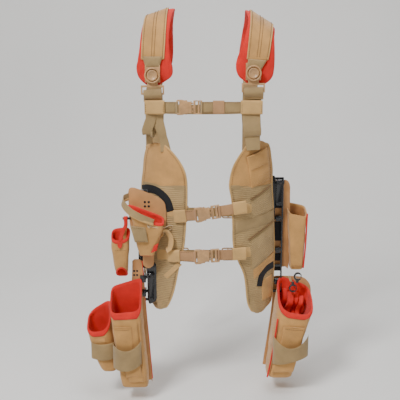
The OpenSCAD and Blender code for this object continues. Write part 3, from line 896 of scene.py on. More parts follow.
def turned(row, p):
    """Places a point or points given on a buckle's own line: tilted, then turned back with the chest."""
    x0, y0, z0, tilt, turn = BUCKLES[row]
    q = np.atleast_2d(np.asarray(p, dtype=float))
    a, b = math.radians(tilt), math.radians(turn)
    x, y, z = q[:, 0], q[:, 1], q[:, 2]
    x, z = x * math.cos(a) - z * math.sin(a), x * math.sin(a) + z * math.cos(a)
    x, y = x * math.cos(b) - y * math.sin(b), x * math.sin(b) + y * math.cos(b)
    return np.stack([x + x0, y + y0, z + z0], -1)


def fixed_end(row, p):
    """The fixed half of a waist strap turns 26 degrees more from the end of its socket."""
    q = np.atleast_2d(np.asarray(p, dtype=float))
    a = math.radians(-26)
    x = q[:, 0] * math.cos(a) - q[:, 1] * math.sin(a) - 29.3
    y = q[:, 0] * math.sin(a) + q[:, 1] * math.cos(a)
    return turned(row, np.stack([x, y, q[:, 2]], -1))


class VEST_OT_straps(VestStep):
    """Chest and waist straps and the sleeves they run through"""
    bl_idname = "vest.straps"
    bl_label = "Straps"

    def run(self, name, place, x0, x1, key, body, node, w=24.6, sewn=True):
        """A straight run of strap from x0 to x1 on its buckle's own line."""
        x = np.linspace(x0, x1, 40)
        up = place([[0, 0, 1.0]])[0] - place([[0, 0, 0.0]])[0]
        strap(name, place(np.stack([x, 0 * x, 0 * x], -1)), up, w, 1.8, key, body, (node,))
        out = place([[0, -1.0, 0]])[0] - place([[0, 0.0, 0]])[0]
        for k, side in enumerate((-1, 1) if sewn else ()):
            row = place(np.stack([x, 0 * x - 1.05, 0 * x + side * (w / 2 - 2)], -1))
            stitch_row(f"{name}_stitch_{k}", row, out, body)

    def sleeve(self, name, place, x, length, node):
        """A band sewn into a flat tube round the strap."""
        y, z = rounded_loop(0, 0, 2.6, 14.2)
        along = place([[1.0, 0, 0]])[0] - place([[0, 0, 0.0]])[0]
        loop_band(name, place(np.stack([np.full(len(y), float(x)), y, z], -1)), along, length, 1.4, "keeper",
                  "vest", (node,))

    def make(self):
        def chest_at(p):
            return turned("chest", p)

        self.run("chest_strap_fixed", chest_at, -96, -26, "webbing", "vest", "chest_strap_left", w=25)
        self.run("chest_strap_sliding", chest_at, 24, 134, "webbing", "chest_plug", "chest_strap_right", w=25)
        y, z = rounded_loop(0, 0, 2.3, 14.6)
        slider = chest_at(np.stack([np.full(len(y), 66.0), y, z], -1))
        loop_band("chest_strap_slider", slider, (1, 0, 0), 26, 1.3, "elastic", "chest_plug")
        for row, end, sleeve_at in (("upper", -46, -36), ("lower", -62, -50)):
            def here(p, row=row):
                return turned(row, p)

            def fixed(p, row=row):
                return fixed_end(row, p)

            self.run(f"{row}_strap_fixed", fixed, end, 2.0, "elastic", "vest", f"{row}_strap_left")
            self.run(f"{row}_strap_sliding", here, 24, 72, "elastic", f"{row}_plug", f"{row}_strap_right",
                     sewn=False)
            self.sleeve(f"{row}_sleeve_fixed", fixed, sleeve_at, 30, f"{row}_sleeve_left")
            self.sleeve(f"{row}_sleeve_sliding", here, 76, 32, f"{row}_sleeve_right")
        self.wraps()
        self.tabs()

    def wraps(self):
        """Each strap is wrapped round its half of the buckle's bar."""
        g = around(28)
        for row, key in (("chest", "webbing"), ("upper", "elastic"), ("lower", "elastic")):
            up = turned(row, [[0, 0, 1.0]])[0] - turned(row, [[0, 0, 0.0]])[0]
            for end, x, body in (("socket", -27.6, "vest"), ("plug", 27.6, f"{row}_plug")):
                ring = turned(row, np.stack([x + 2.2 * np.cos(g), 4.9 * np.sin(g), 0 * g], -1))
                loop_band(f"{row}_wrap_{end}", ring, up, 24.6, 1.0, key, body)

    def tabs(self):
        """The sleeves run out into tabs that are sewn on the panels."""
        for name, corners in (("upper_tab_right", [(88, -425), (122, -436), (124, -461), (88, -452)]),
                              ("lower_tab_right", [(90, -531), (112, -535), (112, -560), (90, -558)]),
                              ("upper_tab_left", [(-92, -436), (-74, -436), (-74, -461), (-92, -461)]),
                              ("lower_tab_left", [(-118, -541), (-88, -538), (-88, -563), (-116, -569)])):
            patch(name, corners, 205.3, 1.8, "keeper", "vest")


# Edges of the panels from the top down, as (z, x).
LEFT_INNER = [(-290, -122), (-289, -103), (-299, -88), (-315, -72), (-334, -58), (-354, -48.5), (-376, -44.5),
              (-400, -44), (-427, -44.5), (-470, -47), (-524, -51.5), (-564, -61), (-600, -68), (-634, -75),
              (-660, -83), (-680, -93), (-690, -106), (-691, -112)]
LEFT_OUTER = [(-290, -128), (-294, -133), (-312, -140), (-335, -144.5), (-357, -146.5), (-400, -151.5),
              (-480, -151.5), (-560, -149), (-613, -139), (-655, -133), (-676, -129), (-688, -118),
              (-691, -112)]
RIGHT_INNER = [(-286, 118), (-289, 108), (-297, 92), (-317, 76), (-337, 64), (-354, 58), (-376, 54),
               (-390, 54), (-425, 60), (-475, 62), (-525, 64), (-560, 74), (-604, 91), (-667, 99),
               (-690, 107), (-702, 118), (-705, 124)]
RIGHT_OUTER = [(-286, 124), (-289, 134), (-302, 147), (-327, 152), (-356, 156), (-396, 156.5), (-440, 160),
               (-498, 163.5), (-546, 166), (-605, 166), (-640, 164), (-682, 160), (-692, 150), (-702, 137),
               (-705, 126)]


def edge_at(table, z):
    """Edge of a panel at each height, smoothed through its given points."""
    t = curve(table, 500)
    order = np.argsort(t[:, 0])
    return np.interp(z, t[order, 0], t[order, 1])


class VEST_OT_panels(VestStep):
    """Foam front panels: plain above the seam, ribbed below, bound edges, pockets and bands"""
    bl_idname = "vest.panels"
    bl_label = "Front panels"

    def panel(self, side, inner, outer, seam_z):
        """One panel: rings at falling heights, each across the front between the two edges and back."""
        top, bottom = min(inner[0][0], outer[0][0]) + 0.2, inner[-1][0] + 0.5
        n, k = 190, 44
        even = np.linspace(top, bottom, n)
        crowded = (top + bottom) / 2 + (top - bottom) / 2 * np.cos(np.linspace(0, np.pi, n))
        z = 0.75 * even + 0.25 * crowded
        a, b = edge_at(inner, z), edge_at(outer, z)
        a[0], b[0] = a[1] * 0.7 + b[1] * 0.3, a[1] * 0.3 + b[1] * 0.7
        a[-1], b[-1] = a[-2] * 0.6 + b[-2] * 0.4, a[-2] * 0.4 + b[-2] * 0.6
        u = (1 - np.cos(np.linspace(0, np.pi, k))) / 2
        from_middle = np.abs(2 * u - 1)
        x = a[:, None] + (b - a)[:, None] * u[None]
        thick = 0.3 + 2.1 * (1 - from_middle ** 14) ** 0.5
        crown = sizes().panel_crown * 1000
        fade = np.sin(np.pi * np.linspace(0.02, 0.98, n))[:, None] ** 0.4
        swell = crown * (1 - from_middle ** 3)[None] * fade
        height = np.broadcast_to(z[:, None], x.shape)
        crease = ripple(np.stack([x, 0 * x, height], -1), 24, 0.5, 2.0 if side == "left" else 5.0)
        groove = 1.3 * np.exp(-((z - seam_z) / 1.4) ** 2)[:, None]
        front_r = PANEL_R + thick[None] + swell + crease * swell / crown - groove
        back_r = PANEL_R - thick[None] + 0 * x
        front = np.stack([x, chest(x, front_r), height], -1)
        back = np.stack([x, chest(x, back_r), height], -1)[:, ::-1]
        mats = (z[:-1] < seam_z).astype(int)
        obj = loft(f"panel_{side}_foam", np.concatenate([front, back], axis=1), ["cloth", "ribbed"], "vest",
                   (f"panel_{side}",), band_mat=mats)
        mid, half = (a + b) / 2, np.abs(b - a) / 2 + 1e-6

        def sewn(q):
            """1 along the bound edge and the seam, 0 in the open fields."""
            at = q[:, 2]
            out = np.abs(q[:, 0] - np.interp(at, z[::-1], mid[::-1])) / np.interp(at, z[::-1], half[::-1])
            return np.maximum(np.clip((out - 0.8) / 0.15, 0, 1), np.clip(1.4 - np.abs(at - seam_z) / 7, 0, 1))

        inflate(obj, 1.0, sewn, stiff=8.0)
        self.bound_edge(side, inner, outer, np.linspace(top - 2, bottom + 1, 260))

    def bound_edge(self, side, inner, outer, z):
        """Tape round the panel, with a row of stitches inside each edge."""
        edges = []
        for name, table in (("inner", inner), ("outer", outer)):
            x = edge_at(table, z)
            edges.append(np.stack([x, chest(x, PANEL_R + 0.6), z], -1))
            x = x + (-4.6 if (name == "inner") == (side == "left") else 4.6)
            row = np.stack([x, chest(x, PANEL_R + 4), z], -1)[6:-14]
            out = np.stack([row[:, 0], row[:, 1] - CHEST_Y, 0 * row[:, 0]], -1) / 200
            stitch_row(f"panel_stitch_{side}_{name}", row, out, "vest")
        ring = np.concatenate([edges[0], edges[1][::-1]])
        ring = curve(np.concatenate([ring[::5], ring[:1]]), 400)[:-1]
        tube(f"panel_binding_{side}", ring, sizes().binding * 1000, "keeper", "vest", closed=True)

    def make(self):
        self.panel("left", LEFT_INNER, LEFT_OUTER, -387)
        self.panel("right", RIGHT_INNER, RIGHT_OUTER, -389)
        self.sewn_on()
        for name, points in (("upper", [(103, -420), (128, -408), (152, -394)]),
                             ("lower", [(99, -516), (130, -499), (164, -482)])):
            tube(f"ribbed_pocket_{name}_lip", outline_on_chest(points, 209.2, 30), 1.3, "thread", "vest")
        self.rail_bands()
        self.carry_arcs()

    def sewn_on(self):
        """Seam tapes, the right panel's pockets with their bands, and a light tape on the left one.
        Each row: name, corners, radius it lies on, thickness, puff, seed, finish, body, CAD nodes."""
        flap = "pocket_flap"
        for name, corners, r0, thick, puff, seed, key, body, nodes in (
                ("seam_tape_left", [(-148, -384), (-47, -384), (-47, -394), (-148, -394)], 205.6, 1.2, 0.2, 0,
                 "webbing", "vest", ()),
                ("seam_tape_right", [(56, -384), (100, -384), (100, -394), (56, -394)], 205.6, 1.2, 0.2, 0,
                 "webbing", "vest", ()),
                ("flap_pocket_cloth", [(93, -324), (146, -306), (152, -380), (104, -396)], 205.2, 3.6, 2.2, 2,
                 "cloth", "vest", ("flap_pocket",)),
                ("pocket_flap_cloth", [(91.5, -320), (141, -302), (146, -337), (103, -352)], 210.8, 2.0,
                 0.6, 4, "cloth", flap, (flap,)),
                ("ribbed_pocket_upper", [(104, -420), (152, -394), (160, -452), (104, -470)], 205.4, 2.4,
                 1.6, 5, "ribbed", "vest", ()),
                ("ribbed_pocket_lower", [(100, -516), (163, -482), (165, -560), (106, -594)], 205.4, 2.6,
                 1.8, 6, "ribbed", "vest", ()),
                ("slant_band_upper", [(66, -468), (162, -455), (163, -484), (66, -498)], 205.6, 1.8, 1.4, 7,
                 "webbing", "vest", ()),
                ("slant_band_lower", [(110, -592), (165, -560), (165, -584), (112, -618)], 205.6, 1.8, 1.0, 8,
                 "cloth", "vest", ()),
                ("small_pocket_right", [(133, -622), (162, -614), (160, -672), (136, -676)], 205.4, 2.4,
                 1.0, 9, "cloth", "vest", ()),
                ("diagonal_tape_left", [(-66, -566), (-56, -572), (-92, -612), (-102, -604)], 205.8, 1.6,
                 0.2, 0, "keeper", "vest", ())):
            patch(name, corners, r0, thick, key, body, nodes, puff=puff, seed=seed)

    def rail_bands(self):
        """Black bands that hold the rails, and the shrouds over the latches."""
        right, left = (176, -16.1), (-148, -82)
        for side, (x, y), w, spans in (("right", right, 21,
                                        ((-396, -459), (-494, -541), (-574, -592), (-602, -618))),
                                       ("left", left, 15.6, ((-446, -484), (-522, -590)))):
            first = 0 if side == "right" else 4
            for k, (high, low) in enumerate(spans, first):
                band = curve([(x, y, high), (x, y, (high + low) / 2), (x, y, low)], 14)
                strap(f"rail_band_{side}_{k}", band, (1, 0, 0), w, 1.2, "mesh_black", "vest")
        plate("latch_shroud_left", [(-139, -590), (-137, -580), (-129, -575), (-118, -578), (-112, -592),
                                    (-113, -640), (-118, -666), (-128, -676), (-138, -670)], -90.2, -86.4,
              "black", "vest", ease=1.4)
        plate("latch_shroud_right", [(154, -386), (157, -378), (162, -376), (166, -380), (167.4, -392),
                                     (167.4, -436), (165, -462), (160, -470), (155, -462)], -34, -30.2,
                                     "black",
              "vest", ease=1.2)

    def carry_arcs(self):
        """Black webbing in an arc on both panels, its width laid on the chest."""
        for side, points, w in (("left", [(-150, -402), (-130, -398), (-108, -404), (-90, -421),
                                          (-82, -446)], 19),
                                ("right", [(128, -636), (133, -612), (146, -597), (164, -592)], 17)):
            q = outline_on_chest(points, 207.5, 60)
            out = np.stack([q[:, 0], q[:, 1] - CHEST_Y, 0 * q[:, 0]], -1)
            across = np.cross(out, unit(np.gradient(q, axis=0)))
            strap(f"carry_arc_{side}", q, across, w, 2.0, "mesh_black", "vest")


def rung_hook(name, x, ys, z, body):
    """A flat bar at depths ys, from the plate on: back over the rung at z, and down behind it."""
    path = [(x, y, z + dz) for y, dz in zip(ys, (2.3, 2.3, 2.3, 1, -2, -9.5))]
    strap(name, curve(path, 40), (1, 0, 0), 12, 2.8, "black", body)


def eyelets(name, xs, zs, profile, body):
    """Four rivets in a plate, two by two."""
    for i, x in enumerate(xs):
        for j, z in enumerate(zs):
            lathe(f"{name}_eyelet_{i}{j}", (x, z), profile, "black", body, m=20)


class VEST_OT_holder(VestStep):
    """Tool holder: smooth back plate, cloth throat with a red lining, bands, cord and small loop"""
    bl_idname = "vest.holder"
    bl_label = "Tool holder"

    def make(self):
        plate("holder_backing", [(-179, -402), (-176, -392), (-164, -391), (-138, -401), (-112, -413),
                                 (-97, -424), (-93, -440), (-93, -478), (-106, -512), (-121, -545),
                                 (-122, -572),
                                 (-128, -580), (-135, -583), (-142, -580), (-148, -572), (-149, -545),
                                 (-168, -505), (-177, -470)], -110, -107, "hide", "tool_holder",
              ("holder_plate",), ease=0.8)
        eyelets("holder", (-141, -132), (-434, -424),
                [(0.3, -109.4), (2.6, -109.4), (2.8, -110.5), (2.1, -110.9), (0.3, -110.7)], "tool_holder")
        for i, z in enumerate((-430, -505)):
            rung_hook(f"holder_hook_{i}", -148, (-107.2, -95, -79, -76.8, -76.5, -76.5), z, "tool_holder")
        lug = curve([(-193, -108.5, -463), (-185, -108.5, -463), (-174, -108.5, -463)], 12)
        tube("holder_bar", lug, 2.9, "black", "tool_holder", m=14)
        mouth = slope_mouth(-455, -443, -546, 0.8, dip=4, side=-16)
        pouch("holder_throat", [(0, -153, -119, -135, -112), (0.3, -162, -114, -138, -111.5),
                                (0.7, -168, -102, -141, -111.2), (1.0, -180, -97, -144, -110.8)],
              2.6, mouth, ["cloth", "lining", "lining"], "tool_holder", ("tool_holder",), floor=False,
              rim=1.6, rim_high=6, creases=1.4, seed=1.5)
        # two curved bands round the left front, one over the other
        for k, (dz, key) in enumerate(((0, "webbing"), (-7, "keeper"))):
            band = curve([(-178, -109, -410 + dz), (-189, -120, -414 + dz), (-188, -133, -424 + dz),
                          (-172, -146, -438 + dz), (-150, -150, -450 + dz * 0.9),
                          (-132, -149.5, -458 + dz * 0.8), (-120, -146, -464 + dz * 0.7)], 80)
            strap(f"holder_band_{k}", band, (0.25, 0.1, 1), 15 - 9 * k, 2.0 + k, key, "tool_holder")
        # wide webbing patch on the front
        patch("holder_webbing_patch", [(-173, -472), (-138, -476), (-132, -511), (-163, -511)], -142.4, 1.8,
              "webbing", "tool_holder", puff=1.4, on="flat", seed=2)
        for k, (start, end) in enumerate((((-171, -146, -475), (-139, -146, -479)),
                                          ((-162, -145.6, -508), (-134, -145.6, -508)))):
            stitch_row(f"holder_stitch_{k}", np.linspace(start, end, 30), FRONT, "tool_holder")
        patch("holder_red_peek", [(-119, -520), (-109, -514), (-113, -532), (-127, -538)], -138.2, 1.6,
              "lining", "tool_holder", puff=1.2, on="flat", seed=7)
        # tie cord: a knot on the front, then a loop that lies on the panel and comes back to the foot of
        # the small loop
        knot = curve([(-134, -141, -470), (-131, -144, -473), (-127, -144.5, -470), (-129, -143, -466),
                      (-133, -143.5, -468), (-132, -145, -474), (-128, -144, -477)], 50)
        knot = tube("holder_knot", knot, 1.2, "cord", "tool_holder", ("holder_cord",))
        run = curve([(-129, -144.6, -473), (-117, -144, -475.5), (-103, -138, -479), (-92, -126.5, -479),
                     (-82, -115.5, -477.5), (-76.5, -112.4, -481.5), (-80, -112.8, -487),
                     (-88, -114.5, -490.5), (-96, -116.5, -494), (-103, -117.5, -498)], 60)
        tie = tube("holder_tie", run, 0.9, "cord", "tool_holder")
        # small webbing loop beside the holder
        small = curve([(-106, -117, -500), (-98, -122, -490), (-88, -124, -493), (-81, -123, -508),
                       (-83, -121, -528), (-92, -117, -538)], 50)
        strap("holder_small_loop", small, (0.75, -0.65, 0.3), 15, 1.8, "keeper", "tool_holder")


class VEST_OT_small_pouch(VestStep):
    """Small open pouch that swings from a strap"""
    bl_idname = "vest.small_pouch"
    bl_label = "Small pouch"

    def make(self):
        cut = 25
        mouth = slope_mouth(-512, -489, -604.5, 0.8, dip=3, side=2, cut=cut)
        pouch("small_pouch_shell", [(0, -209, -186, -120, -97), (0.16, -214, -182, -123, -95),
                                    (0.6, -219, -179, -124.5, -94.5), (1.0, -220, -177, -124, -94)],
              2.4, mouth, ["cloth", "lining", "lining"], "small_pouch", ("small_pouch",), floor=False,
              rim=1.4, rim_high=8, power=3.2, creases=1.6, seed=4.0)
        ring = around(30)
        loop = np.stack([np.full(30, -186.0), -108.5 + 4.5 * np.cos(ring), -463 + 4.5 * np.sin(ring)], -1)
        loop_band("hanger_ring", loop, (1, 0, 0), 9, 1.5, "lining", "small_pouch", ("pouch_hanger",))
        for k, (y0, y1, x, y, key) in enumerate(((-112.8, -114, -197, -122, "lining"),
                                                 (-104.6, -103, -190, -98, "cloth"))):
            p = curve([(-186, y0, -464), (-186, y1, -478), ((-186 + x) / 2, (-113 + y) / 2, -490),
                       (x, y, -506), (x, y - 0.4, -520)], 40)
            strap(f"hanger_tail_{k}", p, (1, 0.1, 0), 8, 1.5, key, "small_pouch")
        plate("small_pouch_tab", [(-204, -516), (-194, -516), (-194, -525), (-199, -530), (-204, -525)],
              -127.6, -125.6, "lining", "small_pouch", ease=0.6, n=60)
        g = around(60)
        foot = np.stack([-197.5 + 12.4 * np.cos(g), -108.8 + 12 * np.sin(g),
                         -604 + cut * ((1 - np.sin(g)) / 2) ** 1.5], -1)
        tube("small_pouch_foot", foot, 1.9, "lining", "small_pouch", closed=True)
        row = np.linspace((-214, -126.2, -535), (-183, -126.2, -535), 30)
        stitch_row("small_pouch_stitch", row, FRONT, "small_pouch")


def sling(name, xs, top, bottom, depth, y0, key, body, seed=0.0):
    """Wide webbing sewn down at both sides that stands off in a curve. Across u from -1 to 1 it stands
    off by depth times (1 - u^2)^0.6, and its top edge dips as a parabola: top is (left, dip, right)."""
    u = np.linspace(-1, 1, 60)
    x = (xs[0] + xs[1]) / 2 + (xs[1] - xs[0]) / 2 * u
    hi = np.interp(u, [-1, 1], [top[0], top[2]]) - top[1] * (1 - u * u)
    lo = np.interp(u, [-1, 1], [bottom[0], bottom[2]]) - bottom[1] * (1 - u * u)
    off = depth * (1 - np.abs(u) ** 2.4) ** 0.6
    v = np.linspace(0, 1, 22)
    lip = 2.2 * (1 - np.abs(2 * v - 1) ** 10) ** 0.5 / 2
    z = hi[:, None] + (lo - hi)[:, None] * v[None]
    yy = y0 - off[:, None] * (1 - 0.35 * v[None]) - 1.6
    xx = np.broadcast_to(x[:, None], z.shape)
    p = np.stack([xx, yy, z], -1)
    yy = yy + ripple(p, 18, 0.7, seed)
    front = np.stack([xx, yy - lip[None], z], -1)
    back = np.stack([xx, yy + lip[None], z], -1)[:, ::-1]
    return loft(name, np.concatenate([front, back], axis=1), [key], body)


def face_patch(name, corners, y0, thick, key, body, puff=1.5, seed=0.0):
    """A pocket sewn on a flat front, with a folded hem along its top edge."""
    patch(name, corners, y0, thick, key, body, puff=puff, on="flat", seed=seed)
    (ax, az), (bx, bz) = corners[:2]
    line = curve([(ax + 1, y0 - thick * 0.9, az - 0.5),
                  ((ax + bx) / 2, y0 - thick - 0.8, (az + bz) / 2 - 0.8),
                  (bx - 1, y0 - thick * 0.9, bz - 0.5)], 30)
    tube(f"{name}_hem", line, 1.3, key, body)
    stitch_row(f"{name}_stitch", line + np.array([0, -1.4, -5.0]), FRONT, body)


class VEST_OT_left_bag(VestStep):
    """Left bag: back plate, main pouch, pockets, tool sleeve and the outer pouch"""
    bl_idname = "vest.left_bag"
    bl_label = "Left bag"

    def make(self):
        body = "bag_left"
        plate("bag_left_backing", [(-174, -570), (-170, -566), (-156, -566), (-152, -570), (-149, -600),
                                   (-142, -700), (-131, -860), (-133, -871), (-150, -871), (-198, -871),
                                   (-206, -862), (-214, -760), (-222, -672), (-212, -650), (-200, -631),
                                   (-188, -628), (-178, -625), (-175, -600)],
              -96, -92, "hide", body, ("bag_left_plate",), ease=1.0)
        edge = [(-151, -94, -570), (-148, -94, -620), (-143, -94, -700), (-136, -94, -790),
                (-130.5, -94, -868)]
        tube("bag_left_plate_edge", curve(edge, 60), 1.7, "lining", body)
        eyelets("bag_left", (-170, -163), (-604, -594),
                [(0.3, -95.4), (2.4, -95.4), (2.6, -96.4), (2.0, -96.8), (0.3, -96.6)], body)
        mouth = slope_mouth(-688, -615, -868, 0.62, dip=0.0, side=2, twist=9)
        pouch("bag_left_main", [(0, -198, -138, -146, -97), (0.1, -202, -138, -150, -96.6),
                                (0.45, -212, -144, -152, -96.6), (0.8, -220, -150, -152.5, -96.6),
                                (1.0, -224, -151, -152, -96.6)],
              3.0, mouth, ["cloth", "lining", "lining"], body, ("bag_left",), creases=1.5, rim=1.8,
              rim_high=8, power=6.5, seed=0.4)
        face_patch("bag_left_pocket", [(-217, -712), (-172, -713), (-168, -775), (-208, -775)], -152.6, 2.6,
                   "cloth", body, puff=2.4, seed=1)
        sling("bag_left_sling", (-217, -151), (-752, 16, -745), (-812, 10, -803), 17, -153, "webbing", body,
              seed=3)
        patch("bag_left_step_a", [(-194, -810), (-154, -806), (-150, -836), (-188, -838)], -152.6, 3.0,
              "cloth", body, ("bag_left_sleeve",), puff=3.0, on="flat", seed=5)
        patch("bag_left_step_b", [(-190, -826), (-152, -820), (-146, -850), (-180, -852)], -151.0, 2.4,
              "cloth", body, puff=2.0, on="flat", seed=6)
        side = curve([(-155.5, -152.6, -700), (-150, -152.4, -770), (-144, -149, -850)], 50)
        tube("bag_left_seam", side, 1.4, "cloth", body)
        stitch_row("bag_left_seam_stitch", side + np.array([-5, -1.0, 0]), FRONT, body)
        # outer pouch
        mouth = slope_mouth(-738, -678, -838, 0.7, dip=2, side=3, twist=15)
        pouch("bag_left_outer", [(0, -248, -216, -122, -76), (0.12, -256, -214, -126, -73),
                                 (0.5, -270, -220, -129, -71), (0.85, -281, -226, -129, -70),
                                 (1.0, -284, -227, -128, -70)],
              3.0, mouth, ["cloth", "lining", "lining"], body, ("bag_left_front",), creases=1.6, rim=1.8,
              rim_high=8, power=3.4, seed=2.2)
        sling("bag_left_outer_band", (-272, -217), (-760, 5, -758), (-800, 5, -800), 5, -127, "webbing", body,
              seed=4)
        patch("bag_left_outer_tab", [(-262, -752), (-238, -750), (-236, -760), (-262, -762)], -129.4, 1.2,
              "cloth", body, puff=1.2, on="flat", seed=7)


RIGHT_HOOK = (-12.5, -20, -25, -26.6, -26.8, -26.8)  # depths of a hook on the right rail


class VEST_OT_holster(VestStep):
    """Right holster: a tall slim sleeve on a plate, bound in red along its outer edge"""
    bl_idname = "vest.holster"
    bl_label = "Holster"

    def make(self):
        body = "holster"
        plate("holster_backing", [(160, -398), (172, -390), (192, -390), (203, -400), (205, -440),
                                  (205, -600),
                                  (196, -608), (168, -608), (160, -598)], -14, -10, "hide", body, ease=0.8)
        mouth = slope_mouth(-470, -455, -611, 1.0, dip=8, side=-5)
        pouch("holster_sleeve", [(0, 208, 238, -31, 12), (0.12, 206, 240, -33, 14),
                                 (0.6, 202, 243, -34, 15.5), (1.0, 199, 246, -34, 16)],
              2.8, mouth, ["cloth", "hide", "cloth"], body, ("holster",), creases=1.3, rim=1.4, rim_high=5,
              power=5.0, seed=3.3)
        edge = curve([(245.6, -30, -470), (244.5, -33, -500), (243, -33, -550), (239, -32, -606)], 60)
        tube("holster_red_edge", edge, 2.0, "lining", body)
        face = [(201, -468), (242, -477), (236, -603), (209, -603)]
        patch("holster_front", face, -33.6, 1.6, "cloth", body, puff=2.0, on="flat", seed=4)
        for k, z in enumerate((-480, -560)):
            rung_hook(f"holster_hook_{k}", 176, RIGHT_HOOK, z, body)


class VEST_OT_right_bag(VestStep):
    """Right bag: back plate, deep red-lined pouch, pocket and tool sleeve"""
    bl_idname = "vest.right_bag"
    bl_label = "Right bag"

    def make(self):
        body = "bag_right"
        plate("bag_right_backing", [(166, -640), (172, -633), (200, -633), (236, -635), (252, -644),
                                    (262, -664),
                                    (260, -712), (238, -790), (214, -866), (180, -868), (148, -868),
                                    (147, -856),
                                    (157, -780), (166, -700)], -14, -10, "hide", body, ("bag_right_plate",),
              ease=1.0)
        mouth = slope_mouth(-704, -648, -866, 0.72, dip=0, side=-6, twist=-9)
        pouch("bag_right_main", [(0, 150, 212, -98, -16), (0.1, 151, 216, -103, -15.4),
                                 (0.45, 160, 232, -106, -15), (0.8, 169, 250, -106, -15),
                                 (0.95, 174, 257, -105, -15), (1.0, 176, 259, -104, -15)],
              3.0, mouth, ["cloth", "lining", "lining"], body, ("bag_right",), creases=1.7, rim=2.0,
              rim_high=9, power=3.8, seed=6.1)
        face_patch("bag_right_pocket", [(186, -729), (238, -733), (228, -790), (178, -786)], -105.8, 2.6,
                   "cloth", body, puff=2.6, seed=2)
        sling("bag_right_sling", (161, 246), (-750, 28, -748), (-824, 4, -802), 21, -105, "webbing", body,
              seed=8)
        patch("bag_right_step", [(166, -812), (222, -808), (212, -846), (158, -848)], -105.4, 2.6, "cloth",
              body, ("bag_right_sleeve",), puff=3.0, on="flat", seed=3)
        edge = curve([(172, -101, -712), (166, -103, -760), (157, -103, -820), (150, -96, -864)], 60)
        tube("bag_right_red_edge", edge, 2.0, "lining", body)
        for k, (x, y, w) in enumerate(((194, -34, 13), (207, -46, 15), (221, -38, 14), (233, -50, 11))):
            fold = curve([(x + 3, y + 14, -664 - 5 * k), (x, y - 4, -688), (x - 7, y + 3, -712),
                          (x - 9, y - 9, -738), (x - 18, y, -764)], 40)
            strap(f"bag_right_fold_{k}", fold, (1, 0.3 - 0.25 * k, 0), w, 7.0, "lining", body)
        for k, x in enumerate((208, 221)):
            p = curve([(x, -14, -633), (x, -30, -634.5), (x, -50, -635)], 20)
            strap(f"snap_tab_{k}", p, (1, 0, 0), 6, 2.4, "webbing", body)
        rung_hook("bag_right_hook", 176, RIGHT_HOOK, -640, body)


class VEST_OT_back(VestStep):
    """Back harness: upright straps, a cross strap and two rear waist belts"""
    bl_idname = "vest.back"
    bl_label = "Back harness"

    def make(self):
        for k, (x, x0) in enumerate(((-135, -118), (113, 112))):
            p = curve([(x0, 101, -118), (x0, 103, -132), (x, 112, -200), (x, 120, -232), (x, 126, -262),
                       (x, 126, -400), (x, 126, -540), (x, 126, -639)], 120)
            strap(f"back_strap_{k}", p, (1, 0, 0), 37, 1.8, "webbing", "vest",
                  ("back_harness",) if k == 0 else ())
            for s in (-1, 1):
                stitch_row(f"back_stitch_{k}_{(s + 1) // 2}", p[2:-2] + np.array([s * 15.5, 1.2, 0]),
                           (0, 1.0, 0), "vest")
        g = np.linspace(0, np.pi / 2, 10)  # a quarter turn of radius 60 at each rear corner
        left = np.stack([-92 - 60 * np.cos(g), 62 + 60 * np.sin(g)], -1)
        right = np.stack([92 + 60 * np.sin(g), 62 + 60 * np.cos(g)], -1)
        plan = np.concatenate([[(-145, -58), (-149, -46), (-152, -24), (-152, 20)], left,
                               [(-40, 122), (40, 122)], right, [(152, 20), (152, -24), (149, -46),
                                                                (145, -58)]])
        xy = curve(plan, 160)
        for k, z in enumerate((-501, -616)):
            p = np.stack([xy[:, 0], xy[:, 1], np.full(160, float(z))], -1)
            strap(f"rear_belt_{k}", p, (0, 0, 1), 24.6, 1.8, "webbing", "vest")
            # tri-glide adjusters where the belts meet the upright straps
            for s in (-1, 1):
                c = s * 60
                xs, zs = rounded_loop(c, z, 15, 16, n=40, power=8)
                loop = np.stack([xs, np.full(40, 124.4), zs], -1)
                loop_band(f"adjuster_{k}_{(s + 1) // 2}", loop, (0, 1, 0), 2.6, 3.2, "plastic", "vest", m=16)
                bar = curve([(c, 124.6, z - 15), (c, 124.8, z), (c, 124.6, z + 15)], 12)
                tube(f"adjuster_bar_{k}_{(s + 1) // 2}", bar, 1.5, "plastic", "vest")
        p = curve([(-119, 112, -230), (-60, 114.5, -231.5), (0, 115, -232), (60, 114.5, -231.5),
                   (97, 112, -230)],
                  80)
        strap("cross_strap", p, (0, 0, 1), 24.6, 1.8, "webbing", "vest")


# In metres. The floor turns up into the backdrop by a quarter turn of radius SWEEP.
FLOOR_Z, FLOOR_FRONT, FLOOR_BACK, SWEEP = -0.905, -3.2, 1.0, 1.1
CAMERA_AT, CAMERA_PITCH, CAMERA_LENS = (-0.014, -1.8, -0.06), 78, 67.6
LIGHTS = (("key", (-1.3, -1.9, 1.9), (0, 0, -0.4), 0.8, 100),
          ("fill", (2.1, -2.0, -0.1), (0, 0, -0.4), 1.8, 14),
          ("top", (0.2, -0.5, 2.1), (0, 0, -0.4), 1.2, 26), ("back", (0.6, 1.7, 1.2), (0, 0, -0.3), 1.2, 16))


